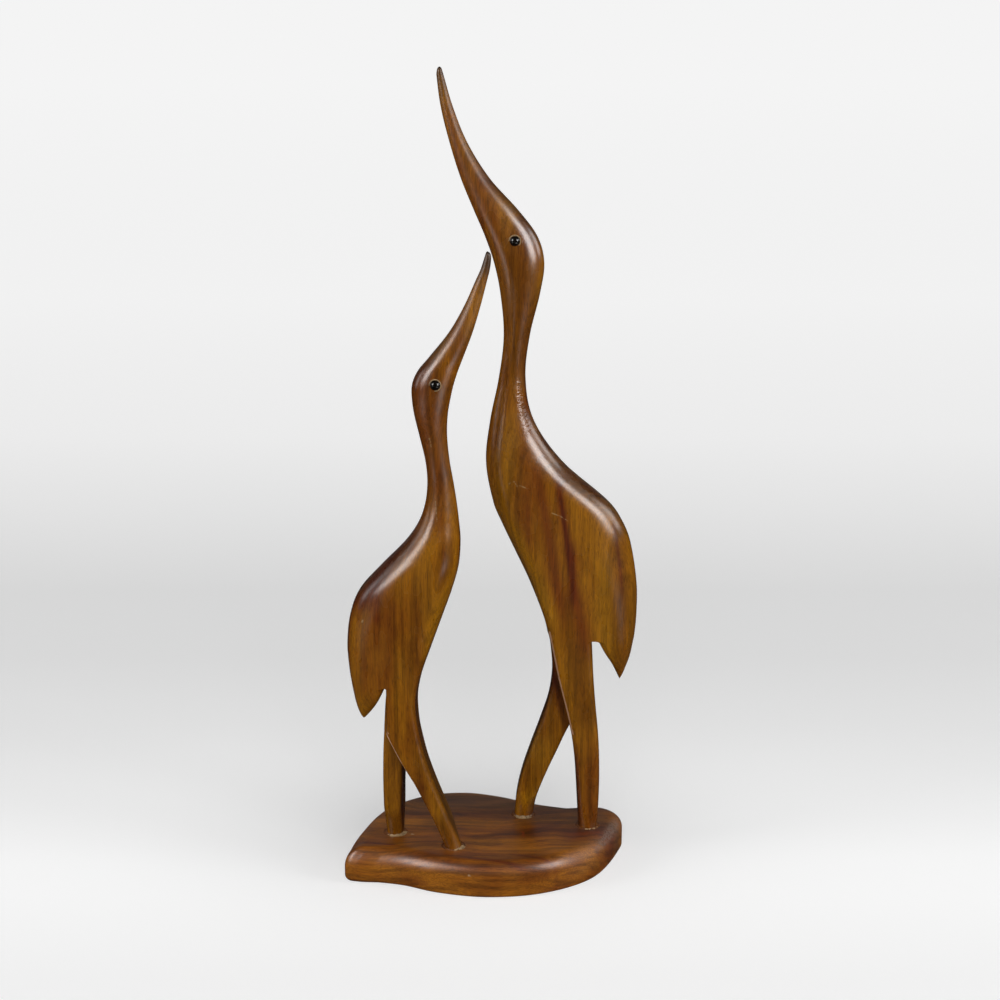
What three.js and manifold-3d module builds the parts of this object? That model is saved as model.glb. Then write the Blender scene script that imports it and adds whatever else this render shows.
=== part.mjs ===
// A pair of long-billed wading birds, each carved from one plank, standing in a shaped wooden base.
// Units are millimetres, +Z is up, and the origin is the centre of the base's underside.
import * as THREE from "three";
import { mergeVertices } from "three/addons/utils/BufferGeometryUtils.js";
import Module from "manifold-3d";

const wasm = await Module();
wasm.setup();

// Driving dimensions
const PLANK = 25.4; // thickness of the plank that both birds are sawn from
const LAYER = PLANK / 2; // each leg keeps one half of that thickness
const BASE_THICKNESS = 17;
const BASE_EDGE_ROUND = 7; // how far the base's top edge is rounded over
const BASE_FOOT_CHAMFER = 0.6;
const SOCKET_RADIUS = 5.8; // round hole in the base for each foot
const SOCKET_DEPTH = 6;
const FIT_GAP = 0.3; // clearance between pieces that touch
const FOOT_DEPTH = 10.4; // front to back size of a foot where it enters its hole
const FOOT_TAPER_HEIGHT = 34; // below this height the legs turn from bars into round feet
const LEG_EDGE_ROUND = 1.8;
const LEG_EDGE_SHARPNESS = 6; // exponent of a leg's nearly square edge
const BODY_EDGE_SHARPNESS = 1.75; // exponent of the body's fully round edge
const EDGE_REACH = { head: 8.5, back: 16, notch: 9, tailTip: 2.5, breast: 9 }; // how far in rounding reaches
const STEP_ROUND_SHARE = 0.45; // most that a step between the layers is rounded, as a share of its width
const TAIL_TIP_HALF = 4; // half thickness of the tail's tip
const EYE_RADIUS = 2.45;
const EYE_SINK = 0.5; // how deep a bead's centre lies under the wood's surface

// Heights over which one shape turns into the next, measured from the notch or the crotch
const BACK_BLEND = 40;
const BREAST_BLEND = { from: -4, to: 34 };
const NECK_BELOW_EYE = { from: 65, to: 15 }; // where the back's rounding turns to the head's
const COLUMN_BLEND = 60;
const CROTCH_BLEND = 8;

// Mesh density: strips across each part of a bird
const LEG_STRIPS = 8;
const TAIL_STRIPS = 5;
const WALL_STRIPS = 2;
const LEDGE_STRIPS = 2;
const EYE_SEGMENTS = [12, 8];
const BASE_OUTLINE_STEPS = 52;
const BASE_ROUND_STEPS = 4;
const SOCKET_SEGMENTS = 20;

const MERGE = 1e-3; // points closer than this are one point
const TINY = 1e-6;
const RIM_SLANT_LIMIT = 0.6; // keeps the base's rings from running past its pointed corner

// Each bird faces +X in its own frame. body rows hold: height, back edge, breast edge, half thickness.
// Leg rows hold: height, back edge, front edge. Tail rows hold: height, outer edge, inner edge.
const SMALL_BIRD = {
  name: "small_bird",
  place: { x: -29.5, y: -15.6, turn: -5.5 },
  rows: { body: 36, fork: 10, leg: 9, tail: 5 },
  body: [
    [302.4, 30, 31.6, 0.9],
    [299, 28.9, 32.2, 1.6],
    [290, 25.4, 30.5, 2.3],
    [278, 20, 27.4, 3.2],
    [266, 13.1, 23.8, 4.8],
    [254, 3.6, 19.3, 6.6],
    [248, -1.3, 17, 7.2],
    [242, -3.9, 15.1, 7.6],
    [236, -4.2, 13.7, 7.6],
    [228, -3.2, 12.3, 7.2],
    [218, -0.9, 11.9, 6.4],
    [206, 1.8, 13, 6],
    [196, 2.6, 14.7, 6.5],
    [186, 1.5, 16.2, 7.8],
    [177, -1.6, 17.2, 9.6],
    [168, -7.6, 17.8, 11.3],
    [156, -19, 16.8, 12.5],
    [144, -29.4, 13.5, LAYER],
    [132, -34.3, 9.3, LAYER],
    [117, -36.2, 4, LAYER],
    [104, -35.4, -0.5, LAYER],
    [98.4, -34.6, -1.9, LAYER],
  ],
  tail: [
    [98.4, -34.6, -17.4],
    [92, -33.4, -19.8],
    [88, -32.6, -21.9],
    [84, -31.6, -25],
    [80, -29.9, -29.4],
  ],
  rearLeg: [
    [98.4, -16.9, -1.9],
    [88, -17.9, -2.8],
    [75, -19.6, -5.8],
    [61, -20.5, -9.4],
    [48, -20.8, -10.6],
    [30, -20.5, -11],
    [17, -19.8, -11.5],
  ],
  forwardLeg: [
    [98.4, -16.9, -1.9],
    [92, -17.3, -2.8],
    [86, -17.6, -2.7],
    [79, -17.8, -1.9],
    [76, -17.9, -1.3],
    [70, -15, -0.1],
    [61, -10.5, 2.2],
    [50, -4, 6],
    [40, 1, 9.9],
    [28, 6.5, 14.6],
    [17, 10.1, 18.5],
  ],
  crotch: 59.6,
  breastSplit: 90,
  backSplit: 79,
  eye: { x: 7.5, z: 242.9 },
};

const LARGE_BIRD = {
  name: "large_bird",
  place: { x: 31.5, y: 6.5, turn: 180 },
  rows: { body: 42, fork: 11, leg: 9, tail: 5 },
  body: [
    [381.6, 51.6, 52.5, 0.9],
    [378, 50.5, 53.1, 1.6],
    [364, 46.1, 51.6, 2.7],
    [348, 39.6, 47.7, 3.9],
    [332, 29.5, 42.7, 5.2],
    [318, 16.8, 37, 6.8],
    [306, 7.9, 31.9, 8],
    [294, 4.7, 27.8, 8.6],
    [280, 6.5, 24.9, 8.3],
    [260, 11.2, 23.3, 7],
    [240, 13.1, 25.6, 6.6],
    [220, 9.2, 29.6, 8.7],
    [200, -4.4, 31.6, 11.4],
    [180, -26.8, 28.1, LAYER],
    [170, -33.5, 24, LAYER],
    [160, -37.2, 19.4, LAYER],
    [140, -40.4, 10.1, LAYER],
    [125, -40.6, 4.1, LAYER],
    [114.5, -39.8, 1.6, LAYER],
  ],
  tail: [
    [114.5, -39.8, -23],
    [110, -39, -24],
    [104, -37.8, -26.9],
    [98, -36.1, -30.5],
    [92.5, -34.1, -33.6],
  ],
  rearLeg: [
    [118, -18.6, 2.2],
    [114.5, -18.9, 1.3],
    [109.5, -19.2, 0.2],
    [95, -20, -2.7],
    [80, -21.2, -6.3],
    [67, -22.5, -9.3],
    [55, -23.2, -11],
    [40, -23.4, -12.2],
    [17, -22.8, -13.4],
  ],
  forwardLeg: [
    [118, -18.6, 2.2],
    [114.5, -18.9, 1.6],
    [109.5, -19.2, 0.7],
    [97, -20, -0.4],
    [90, -20.1, -0.2],
    [80, -15, 1.4],
    [67, -8.9, 5.5],
    [55, -3.8, 9.7],
    [42, 1.9, 13.9],
    [30, 6.4, 16.6],
    [17, 8.8, 17.9],
  ],
  crotch: 67.6,
  breastSplit: 118,
  backSplit: 92,
  eye: { x: 18.3, z: 304.8 },
};

// Edge of the base seen from above, from the pointed front left corner round by the front.
const BASE_OUTLINE = [
  [-67.8, -27.2],
  [-63, -29.8],
  [-53, -30.8],
  [-40, -33.4],
  [-24, -40.2],
  [0, -45],
  [27, -41],
  [51, -25.4],
  [65, 3.5],
  [67.2, 15],
  [61, 23.4],
  [46, 23.8],
  [25, 29.8],
  [8, 38.6],
  [-11, 43.8],
  [-32, 40],
  [-51.5, 24],
  [-62.3, -1],
  [-66.6, -17],
];

const wood = (color) => new THREE.MeshStandardMaterial({ color, roughness: 0.35, metalness: 0 });
const BIRD_WOOD = wood(0x80491b);
const BASE_WOOD = wood(0x693a20);
const EYE_GLASS = new THREE.MeshStandardMaterial({ color: 0x080706, roughness: 0.06, metalness: 0 });

// A smooth curve of one size against height, through rows sorted from high to low.
function curve(rows, column) {
  const z = rows.map((row) => row[0]);
  const s = rows.map((row) => row[column]);
  const slope = z.map((_, i) => {
    const a = Math.max(i - 1, 0);
    const b = Math.min(i + 1, z.length - 1);
    return (s[b] - s[a]) / (z[b] - z[a]);
  });
  return (height) => {
    const h = Math.min(Math.max(height, z.at(-1)), z[0]);
    const i = Math.max(1, z.findIndex((value) => value <= h)) - 1;
    const span = z[i + 1] - z[i];
    const t = (h - z[i]) / span;
    const start = (1 + 2 * t) * (1 - t) ** 2 * s[i] + t * (1 - t) ** 2 * span * slope[i];
    const end = t * t * (3 - 2 * t) * s[i + 1] - t * t * (1 - t) * span * slope[i + 1];
    return start + end;
  };
}

const { clamp, lerp, smoothstep } = THREE.MathUtils;

// Share of full thickness at a distance in from an edge that is rounded over by radius.
function roundOver(distance, radius, sharpness) {
  const inside = 1 - clamp(distance / radius, 0, 1);
  return (1 - inside * inside) ** (1 / sharpness);
}

// Columns from +1 to -1 across a section, closest together at both edges.
function spread(strips) {
  return Array.from({ length: strips + 1 }, (_, j) => {
    const v = 1 - Math.abs(1 - (2 * j) / strips);
    return Math.sign(strips - 2 * j) * (1 - v * v);
  });
}

// How each edge of a bird is worked at a height: reach of the rounding, and its sharpness.
function edges(bird) {
  const [top, notch] = [bird.body[0][0], bird.body.at(-1)[0]];
  const reaches = [
    [top, EDGE_REACH.back],
    [notch + BACK_BLEND, EDGE_REACH.back],
    [notch, EDGE_REACH.notch],
    [bird.tail.at(-1)[0], EDGE_REACH.tailTip],
  ];
  const backReach = curve(reaches, 1);
  const [neckFrom, neckTo] = [bird.eye.z - NECK_BELOW_EYE.from, bird.eye.z - NECK_BELOW_EYE.to];
  const reach = (z) => lerp(backReach(z), EDGE_REACH.head, smoothstep(z, neckFrom, neckTo));
  const toLeg = (z) => 1 - smoothstep(z, notch + BREAST_BLEND.from, notch + BREAST_BLEND.to);
  return {
    back: (z) => ({ reach: reach(z), sharpness: BODY_EDGE_SHARPNESS }),
    breast: (z) => ({
      reach: lerp(EDGE_REACH.breast, LEG_EDGE_ROUND, toLeg(z)),
      sharpness: lerp(BODY_EDGE_SHARPNESS, LEG_EDGE_SHARPNESS, toLeg(z)),
    }),
    leg: () => ({ reach: LEG_EDGE_ROUND, sharpness: LEG_EDGE_SHARPNESS }),
  };
}

// Points of one curved face of a section, between low and high along X. side is -1 or +1 along Y,
// inner is the depth it starts from at each edge, outer is its greatest depth.
function faceArc({ z, xs, low, high, side, outer, innerLow = 0, innerHigh = 0, lowEdge, highEdge }) {
  const half = Math.max((high - low) / 2, TINY);
  return xs.map((x) => {
    const onEdge = Math.min(x - low, high - x) < TINY;
    const fromLow = roundOver(x - low, Math.min(lowEdge.reach, half), lowEdge.sharpness);
    const fromHigh = roundOver(high - x, Math.min(highEdge.reach, half), highEdge.sharpness);
    const inner = x < (low + high) / 2 ? innerLow : innerHigh;
    return [x, side * (inner + (onEdge ? 0 : (outer - inner) * fromLow * fromHigh)), z];
  });
}

// Points of the ledge that one layer shows past the other, from x0 to x1 with its free edge rounded off.
function ledge(z, x0, x1, side, inset, roundLow, roundHigh) {
  const half = Math.max(Math.abs(x1 - x0) / 2, TINY);
  const [low, high] = [Math.min(x0, x1), Math.max(x0, x1)];
  const drop = (round, distance) => {
    const reach = Math.min(Math.max(round, TINY), half);
    return round * (1 - roundOver(distance, reach, BODY_EDGE_SHARPNESS));
  };
  return spread(LEDGE_STRIPS).map((xi) => {
    const x = (x0 + x1) / 2 - (xi * (x1 - x0)) / 2;
    return [x, side * (inset + drop(roundLow, x - low) + drop(roundHigh, high - x)), z];
  });
}

class Surface {
  triangles = [];

  // One quad between neighbouring points of two rows.
  strip(upper, lower) {
    for (let j = 0; j + 1 < upper.length; j++) {
      this.triangles.push([upper[j], lower[j + 1], lower[j]]);
      this.triangles.push([upper[j], upper[j + 1], lower[j + 1]]);
    }
  }

  // Strips between each loop and the next one.
  sleeve(loops) {
    const closed = loops.map((loop) => [...loop, loop[0]]);
    for (let i = 0; i + 1 < closed.length; i++) this.strip(closed[i], closed[i + 1]);
  }

  // A fan from a closed loop to its middle.
  cap(loop, reversed) {
    const middle = [0, 1, 2].map((k) => loop.reduce((sum, p) => sum + p[k], 0) / loop.length);
    for (let j = 0; j < loop.length; j++) {
      const [a, b] = [loop[j], loop[(j + 1) % loop.length]];
      this.triangles.push(reversed ? [b, a, middle] : [a, b, middle]);
    }
  }

  // The triangles as a closed manifold solid, with merged vertices and no empty triangles.
  solid() {
    const soup = new THREE.BufferGeometry();
    soup.setAttribute("position", new THREE.Float32BufferAttribute(this.triangles.flat(2), 3));
    const merged = mergeVertices(soup, MERGE);
    const index = [];
    for (let i = 0; i < merged.index.count; i += 3) {
      const [a, b, c] = [0, 1, 2].map((k) => merged.index.getX(i + k));
      if (a !== b && b !== c && a !== c) index.push(a, b, c);
    }
    return toManifold(merged.getAttribute("position").array, index);
  }
}

function toManifold(positions, index) {
  const vertProperties = new Float32Array(positions);
  const triVerts = new Uint32Array(index);
  return new wasm.Manifold(new wasm.Mesh({ numProp: 3, vertProperties, triVerts }));
}

// A three.js geometry of a solid as a manifold, for cutting.
function cutter(geometry) {
  geometry.deleteAttribute("normal");
  geometry.deleteAttribute("uv");
  const merged = mergeVertices(geometry, MERGE);
  return toManifold(merged.getAttribute("position").array, merged.index.array);
}

function toGeometry(solid) {
  const { numProp, numVert, vertProperties, triVerts } = solid.getMesh();
  const positions = new Float32Array(numVert * 3);
  for (let i = 0; i < numVert; i++) {
    positions.set(vertProperties.subarray(i * numProp, i * numProp + 3), 3 * i);
  }
  const geometry = new THREE.BufferGeometry();
  geometry.setAttribute("position", new THREE.BufferAttribute(positions, 3));
  geometry.setIndex(new THREE.BufferAttribute(new Uint32Array(triVerts), 1));
  geometry.computeVertexNormals();
  return geometry;
}

const heights = (from, to, count) => Array.from({ length: count + 1 }, (_, i) => lerp(from, to, i / count));

// All sizes of one bird as functions of height.
function shapeOf(bird) {
  const [back, breast, thickness] = [1, 2, 3].map((column) => curve(bird.body, column));
  const [rearBack, rearFront] = [1, 2].map((column) => curve(bird.rearLeg, column));
  const [forwardBack, forwardFront] = [1, 2].map((column) => curve(bird.forwardLeg, column));
  const [tailOuter, tailInner] = [1, 2].map((column) => curve(bird.tail, column));
  return { back, breast, thickness, rearBack, rearFront, forwardBack, forwardFront, tailOuter, tailInner };
}

// The bird's carved solid, in its own frame: rows from the bill tip down to the feet.
function birdSolid(bird) {
  const shape = shapeOf(bird);
  const edge = edges(bird);
  const surface = new Surface();
  const notch = bird.body.at(-1)[0];
  const tailTip = bird.tail.at(-1)[0];
  const legArc = LEG_STRIPS + WALL_STRIPS;
  const tailArc = TAIL_STRIPS + WALL_STRIPS;
  const across = (low, high, strips) => spread(strips).map((xi) => (low + high + xi * (high - low)) / 2);

  // Layer edges at a height: below its split the forward or the rear layer leaves the shared edge.
  const frontEdge = (z) => (z > notch ? shape.breast(z) : shape.forwardFront(z));
  const rearFront = (z) => {
    if (z === bird.crotch) return shape.forwardBack(z);
    return z < bird.breastSplit ? Math.min(shape.rearFront(z), frontEdge(z)) : frontEdge(z);
  };
  const forwardBack = (z) => {
    return z < bird.backSplit ? Math.max(shape.forwardBack(z), shape.rearBack(z)) : shape.rearBack(z);
  };
  const exposed = (width) => Math.min(LEG_EDGE_ROUND, STEP_ROUND_SHARE * Math.max(width, 0));

  // Columns of the row at the notch, which the rows above shift towards.
  const legAtNotch = across(shape.rearBack(notch), frontEdge(notch), legArc);
  const tailAtNotch = across(shape.tailOuter(notch), shape.tailInner(notch), tailArc);
  const notchColumns = [
    ...legAtNotch.slice(0, LEG_STRIPS),
    shape.rearBack(notch),
    shape.tailInner(notch),
    ...tailAtNotch.slice(WALL_STRIPS + 1),
  ];

  function bodyRow(z) {
    const [low, high] = [shape.back(z), frontEdge(z)];
    const shift = 1 - smoothstep(z, notch, notch + COLUMN_BLEND);
    const natural = across(low, high, notchColumns.length - 1);
    const [lowN, highN] = [shape.back(notch), frontEdge(notch)];
    const xs = natural.map((x, j) => {
      const atNotch = low + ((notchColumns[j] - lowN) / (highN - lowN)) * (high - low);
      return lerp(x, atNotch, shift);
    });
    const outer = shape.thickness(z);
    const rearHigh = rearFront(z);
    const round = exposed(high - rearHigh);
    const rearXs = xs.map((x) => low + ((x - low) / (high - low)) * (rearHigh - low));
    const common = { z, low, outer, lowEdge: edge.back(z), highEdge: edge.breast(z) };
    const near = faceArc({ ...common, xs, high, side: -1, innerHigh: round });
    const far = faceArc({ ...common, xs: rearXs, high: rearHigh, side: 1 }).reverse();
    return { near, far, step: ledge(z, rearHigh, high, -1, 0, 0, round) };
  }

  // The two layers between the notch and the crotch, joined where they overlap.
  function forkRow(z) {
    const outer = shape.thickness(notch);
    const [nearLow, nearHigh] = [forwardBack(z), frontEdge(z)];
    const [farLow, farHigh] = [shape.rearBack(z), rearFront(z)];
    const roundFront = exposed(nearHigh - farHigh);
    const roundBack = exposed(nearLow - farLow);
    const nearEdges = { lowEdge: edge.leg(z), highEdge: edge.breast(z) };
    const near = faceArc({
      z, xs: across(nearLow, nearHigh, legArc), low: nearLow, high: nearHigh,
      side: -1, outer, innerHigh: roundFront, ...nearEdges,
    });
    const far = faceArc({
      z, xs: across(farLow, farHigh, legArc), low: farLow, high: farHigh,
      side: 1, outer, innerLow: roundBack, ...nearEdges,
    }).reverse();
    return {
      near, far,
      backStep: ledge(z, nearLow, farLow, 1, 0, roundBack, 0),
      frontStep: ledge(z, farHigh, nearHigh, -1, 0, 0, roundFront),
    };
  }

  // One leg below the crotch. It turns from a bar with rounded edges into a round foot.
  function legLoop(z, low, high, side, freeLow, freeHigh) {
    const foot = 1 - smoothstep(z, BASE_THICKNESS, FOOT_TAPER_HEIGHT);
    const below = clamp((bird.crotch - z) / CROTCH_BLEND, 0, 1);
    const inset = (foot * (LAYER - FOOT_DEPTH)) / 2;
    const outer = LAYER - inset;
    const middle = (outer - inset) / 2;
    const grown = (free) => lerp(lerp(free, LEG_EDGE_ROUND, below), middle, foot);
    const [roundLow, roundHigh] = [grown(freeLow), grown(freeHigh)];
    const bar = {
      reach: lerp(LEG_EDGE_ROUND, (high - low) / 2, foot),
      sharpness: lerp(LEG_EDGE_SHARPNESS, BODY_EDGE_SHARPNESS, foot),
    };
    const face = faceArc({
      z, xs: across(low, high, legArc), low, high, side, outer,
      innerLow: inset + roundLow, innerHigh: inset + roundHigh, lowEdge: bar, highEdge: bar,
    });
    const inside = ledge(z, low, high, side, inset, roundLow, roundHigh).slice(1, -1);
    return side < 0 ? [...face, ...inside] : [...face.reverse(), ...inside.reverse()];
  }

  // Bill, head, neck and body
  const bodyRows = heights(bird.body[0][0], notch, bird.rows.body).map(bodyRow);
  for (let i = 0; i + 1 < bodyRows.length; i++) {
    for (const part of ["near", "far", "step"]) surface.strip(bodyRows[i][part], bodyRows[i + 1][part]);
  }
  surface.cap([...bodyRows[0].near.slice(0, -1), ...bodyRows[0].far.slice(0, -1)], true);

  // The notch row, split into the leg's part, the notch's roof and the tail's part
  const split = bodyRows.at(-1);
  const lastFar = [...split.far].reverse();
  const legX = shape.rearBack(notch);
  const tailX = shape.tailInner(notch);
  const mirrored = (points) => points.map(([x, y, z]) => [x, -y, z]);
  const wall = (x, points) => points.map(([, y]) => [x, y, notch]);
  const nearWall = wall(legX, forkRow(notch).near.slice(LEG_STRIPS + 1));
  const notchLeg = {
    near: [...split.near.slice(0, LEG_STRIPS + 1), ...nearWall],
    far: [...mirrored(nearWall).reverse(), ...lastFar.slice(0, LEG_STRIPS + 1).reverse()],
    backStep: ledge(notch, legX, legX, 1, 0, 0, 0),
    frontStep: split.step,
  };
  const tailWall = wall(tailX, nearWall.toReversed());
  const notchTail = {
    near: [...tailWall, ...split.near.slice(LEG_STRIPS + 1)],
    far: [...split.far.slice(0, TAIL_STRIPS + 1), ...mirrored(tailWall).reverse()],
  };
  const legEdge = [...notchLeg.near.slice(LEG_STRIPS), ...notchLeg.far.slice(1, WALL_STRIPS + 1)];
  const tailFar = notchTail.far.slice(-WALL_STRIPS - 1, -1).reverse();
  const tailNear = notchTail.near.slice(0, WALL_STRIPS + 1).reverse();
  surface.strip([...tailNear, ...tailFar], legEdge);

  // Tail, down to its tip
  function tailRow(z) {
    const [low, high] = [shape.tailOuter(z), shape.tailInner(z)];
    const along = (notch - z) / (notch - tailTip);
    const outer = lerp(LAYER, TAIL_TIP_HALF, along * along);
    const common = {
      z, xs: across(low, high, tailArc), low, high, outer,
      lowEdge: edge.back(z), highEdge: edge.leg(z),
    };
    return { near: faceArc({ ...common, side: -1 }), far: faceArc({ ...common, side: 1 }).reverse() };
  }
  const tailHeights = heights(notch, tailTip, bird.rows.tail).slice(1);
  const tailRows = [notchTail, ...tailHeights.map(tailRow)];
  for (let i = 0; i + 1 < tailRows.length; i++) {
    for (const part of ["near", "far"]) surface.strip(tailRows[i][part], tailRows[i + 1][part]);
  }
  surface.cap([...tailRows.at(-1).near.slice(0, -1), ...tailRows.at(-1).far.slice(0, -1)], false);

  // The fork between the notch and the crotch
  const forkRows = [notchLeg, ...heights(notch, bird.crotch, bird.rows.fork).slice(1).map(forkRow)];
  for (const part of ["near", "backStep", "far", "frontStep"]) {
    for (let i = 0; i + 1 < forkRows.length; i++) surface.strip(forkRows[i][part], forkRows[i + 1][part]);
  }

  // The two free legs, down into their holes
  const footEnd = BASE_THICKNESS - SOCKET_DEPTH + FIT_GAP;
  const legHeights = [...heights(bird.crotch, BASE_THICKNESS, bird.rows.leg).slice(1), footEnd];
  const crotchRow = forkRows.at(-1);
  const freeFront = exposed(frontEdge(bird.crotch) - rearFront(bird.crotch));
  const freeBack = exposed(forwardBack(bird.crotch) - shape.rearBack(bird.crotch));
  const forwardLeg = [
    [...crotchRow.near, ...crotchRow.frontStep.slice(1, -1)],
    ...legHeights.map((z) => legLoop(z, shape.forwardBack(z), shape.forwardFront(z), -1, 0, freeFront)),
  ];
  const rearLeg = [
    [...crotchRow.far, ...crotchRow.backStep.slice(1, -1)],
    ...legHeights.map((z) => legLoop(z, shape.rearBack(z), shape.rearFront(z), 1, freeBack, 0)),
  ];
  for (const leg of [forwardLeg, rearLeg]) {
    surface.sleeve(leg);
    surface.cap(leg.at(-1), false);
  }
  return surface.solid();
}

// Depth of the carved surface at the eye, from the section's own formula.
function eyeDepth(bird) {
  const shape = shapeOf(bird);
  const edge = edges(bird);
  const { x, z } = bird.eye;
  const row = { z, xs: [x], low: shape.back(z), high: shape.breast(z), side: 1, outer: shape.thickness(z) };
  return faceArc({ ...row, lowEdge: edge.back(z), highEdge: edge.breast(z) })[0][1];
}

// A bird's group: the carving with its two eye sockets, and the two bead eyes.
function makeBird(bird) {
  const group = new THREE.Group();
  const depth = eyeDepth(bird) - EYE_SINK;
  let solid = birdSolid(bird);
  for (const [side, label] of [[-1, "right"], [1, "left"]]) {
    const centre = [bird.eye.x, side * depth, bird.eye.z];
    const socket = new THREE.SphereGeometry(EYE_RADIUS + FIT_GAP, ...EYE_SEGMENTS);
    solid = solid.subtract(cutter(socket.translate(...centre)));
    const eye = new THREE.Mesh(new THREE.SphereGeometry(EYE_RADIUS, ...EYE_SEGMENTS), EYE_GLASS);
    eye.name = bird.name + "_" + label + "_eye";
    eye.position.set(...centre);
    group.add(eye);
  }
  const carving = new THREE.Mesh(toGeometry(solid), BIRD_WOOD);
  carving.name = bird.name;
  group.add(carving);
  group.position.set(bird.place.x, bird.place.y, 0);
  group.rotation.z = THREE.MathUtils.degToRad(bird.place.turn);
  return group;
}

// Where each leg of a bird meets the base, in the object's frame.
function footCentres(bird) {
  const legs = [[bird.forwardLeg, -1], [bird.rearLeg, 1]];
  return legs.map(([rows, side]) => {
    const [, low, high] = rows.at(-1);
    const centre = new THREE.Vector3((low + high) / 2, (side * LAYER) / 2, 0);
    centre.applyAxisAngle(new THREE.Vector3(0, 0, 1), THREE.MathUtils.degToRad(bird.place.turn));
    return centre.add(new THREE.Vector3(bird.place.x, bird.place.y, 0));
  });
}

// The base: rings of its outline, drawn in towards the middle, from the underside over the round top edge.
function makeBase() {
  const corners = BASE_OUTLINE.map(([x, y]) => new THREE.Vector3(x, y, 0));
  const outline = new THREE.CatmullRomCurve3(corners, true);
  const rim = outline.getSpacedPoints(BASE_OUTLINE_STEPS).slice(0, -1);
  const ring = (inset, z) =>
    rim.map((p, i) => {
      const along = rim[(i + 1) % rim.length].clone().sub(rim.at(i - 1));
      const normal = new THREE.Vector3(-along.y, along.x, 0).normalize();
      const inward = p.clone().negate().normalize();
      const step = inset / Math.max(normal.dot(inward), RIM_SLANT_LIMIT);
      return [p.x + inward.x * step, p.y + inward.y * step, z];
    });
  const rings = [ring(BASE_FOOT_CHAMFER, 0), ring(0, BASE_FOOT_CHAMFER)];
  for (let k = 0; k <= BASE_ROUND_STEPS; k++) {
    const angle = (k / BASE_ROUND_STEPS) * (Math.PI / 2);
    const inset = BASE_EDGE_ROUND * (1 - Math.cos(angle));
    rings.push(ring(inset, BASE_THICKNESS - BASE_EDGE_ROUND * (1 - Math.sin(angle))));
  }
  const surface = new Surface();
  surface.sleeve(rings);
  surface.cap(rings[0], true);
  surface.cap(rings.at(-1), false);
  let solid = surface.solid();
  for (const centre of [...footCentres(SMALL_BIRD), ...footCentres(LARGE_BIRD)]) {
    const hole = new THREE.CylinderGeometry(SOCKET_RADIUS, SOCKET_RADIUS, 2 * SOCKET_DEPTH, SOCKET_SEGMENTS);
    hole.rotateX(Math.PI / 2);
    hole.translate(centre.x, centre.y, BASE_THICKNESS);
    solid = solid.subtract(cutter(hole));
  }
  const base = new THREE.Mesh(toGeometry(solid), BASE_WOOD);
  base.name = "base";
  return base;
}

const pair = new THREE.Group();
pair.add(makeBase(), makeBird(SMALL_BIRD), makeBird(LARGE_BIRD));

export default pair;
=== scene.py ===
"""Two carved wading birds on their shaped wooden base, dressed for a plain studio picture.

Sizes are in millimetres until a mesh is made, +Z is up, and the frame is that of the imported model. Each
bird is worked out in its own frame, facing +X, with its plank's middle at y = 0, and is then turned and set
in its place.
"""

import logging
import math
from collections.abc import Sequence
from dataclasses import dataclass
from enum import Enum

import bmesh
import bpy
import numpy as np
from numpy.typing import NDArray
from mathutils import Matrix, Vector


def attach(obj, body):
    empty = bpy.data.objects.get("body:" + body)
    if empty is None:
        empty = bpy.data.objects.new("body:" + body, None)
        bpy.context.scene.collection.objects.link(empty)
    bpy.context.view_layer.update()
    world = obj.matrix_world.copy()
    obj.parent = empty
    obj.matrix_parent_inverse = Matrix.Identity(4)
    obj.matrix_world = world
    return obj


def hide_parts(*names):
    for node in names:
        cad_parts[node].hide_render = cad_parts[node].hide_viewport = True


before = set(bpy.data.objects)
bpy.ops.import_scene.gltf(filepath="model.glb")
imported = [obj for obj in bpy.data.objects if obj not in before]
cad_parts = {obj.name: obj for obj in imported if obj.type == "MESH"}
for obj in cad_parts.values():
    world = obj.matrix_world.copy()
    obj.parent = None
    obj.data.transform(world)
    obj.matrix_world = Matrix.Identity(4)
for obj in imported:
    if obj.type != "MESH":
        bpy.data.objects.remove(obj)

Floats = NDArray[np.float64]
Rows = tuple[tuple[float, ...], ...]
Pair = tuple[float, float]
Triple = tuple[float, float, float]
Colour = tuple[float, float, float]
Socket = bpy.types.NodeSocket

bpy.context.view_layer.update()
MM = 0.001
TINY = 1e-6
WELD = 1e-7  # metres; points nearer to each other than this are one
PLANK = 25.4  # thickness of the plank that both birds are sawn from
LAYER = PLANK / 2
BASE_THICKNESS = 17.0
SOCKET_RADIUS = 5.8
SOCKET_DEPTH = 6.0
FIT_GAP = 0.3
ALWAYS_SMOOTH = 180.0
log = logging.getLogger("wading_birds")


# Shared shaping


def smoothstep(value: Floats, low: float, high: float) -> Floats:
    """Rises from 0 at low to 1 at high as 3t^2 - 2t^3."""
    t = np.clip((value - low) / (high - low), 0.0, 1.0)
    return t * t * (3.0 - 2.0 * t)


def spread(strips: int) -> Floats:
    """Columns packed towards both ends.

    Args:
        strips: how many strips lie between them.

    Returns:
        Values from +1 to -1: 1 - v^2 each way, where v falls evenly to 0 at the ends.
    """
    j = np.arange(strips + 1)
    v = 1.0 - np.abs(1.0 - 2.0 * j / strips)
    return np.sign(strips - 2 * j) * (1.0 - v * v)


def round_over(distance: Floats, radius: Floats, sharpness: Floats) -> Floats:
    """Share of full depth at a distance in from a rounded edge: (1 - (1 - d/r)^2) to the 1/sharpness."""
    inside = 1.0 - np.clip(distance / radius, 0.0, 1.0)
    return np.maximum(1.0 - inside * inside, 0.0) ** (1.0 / sharpness)


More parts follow.
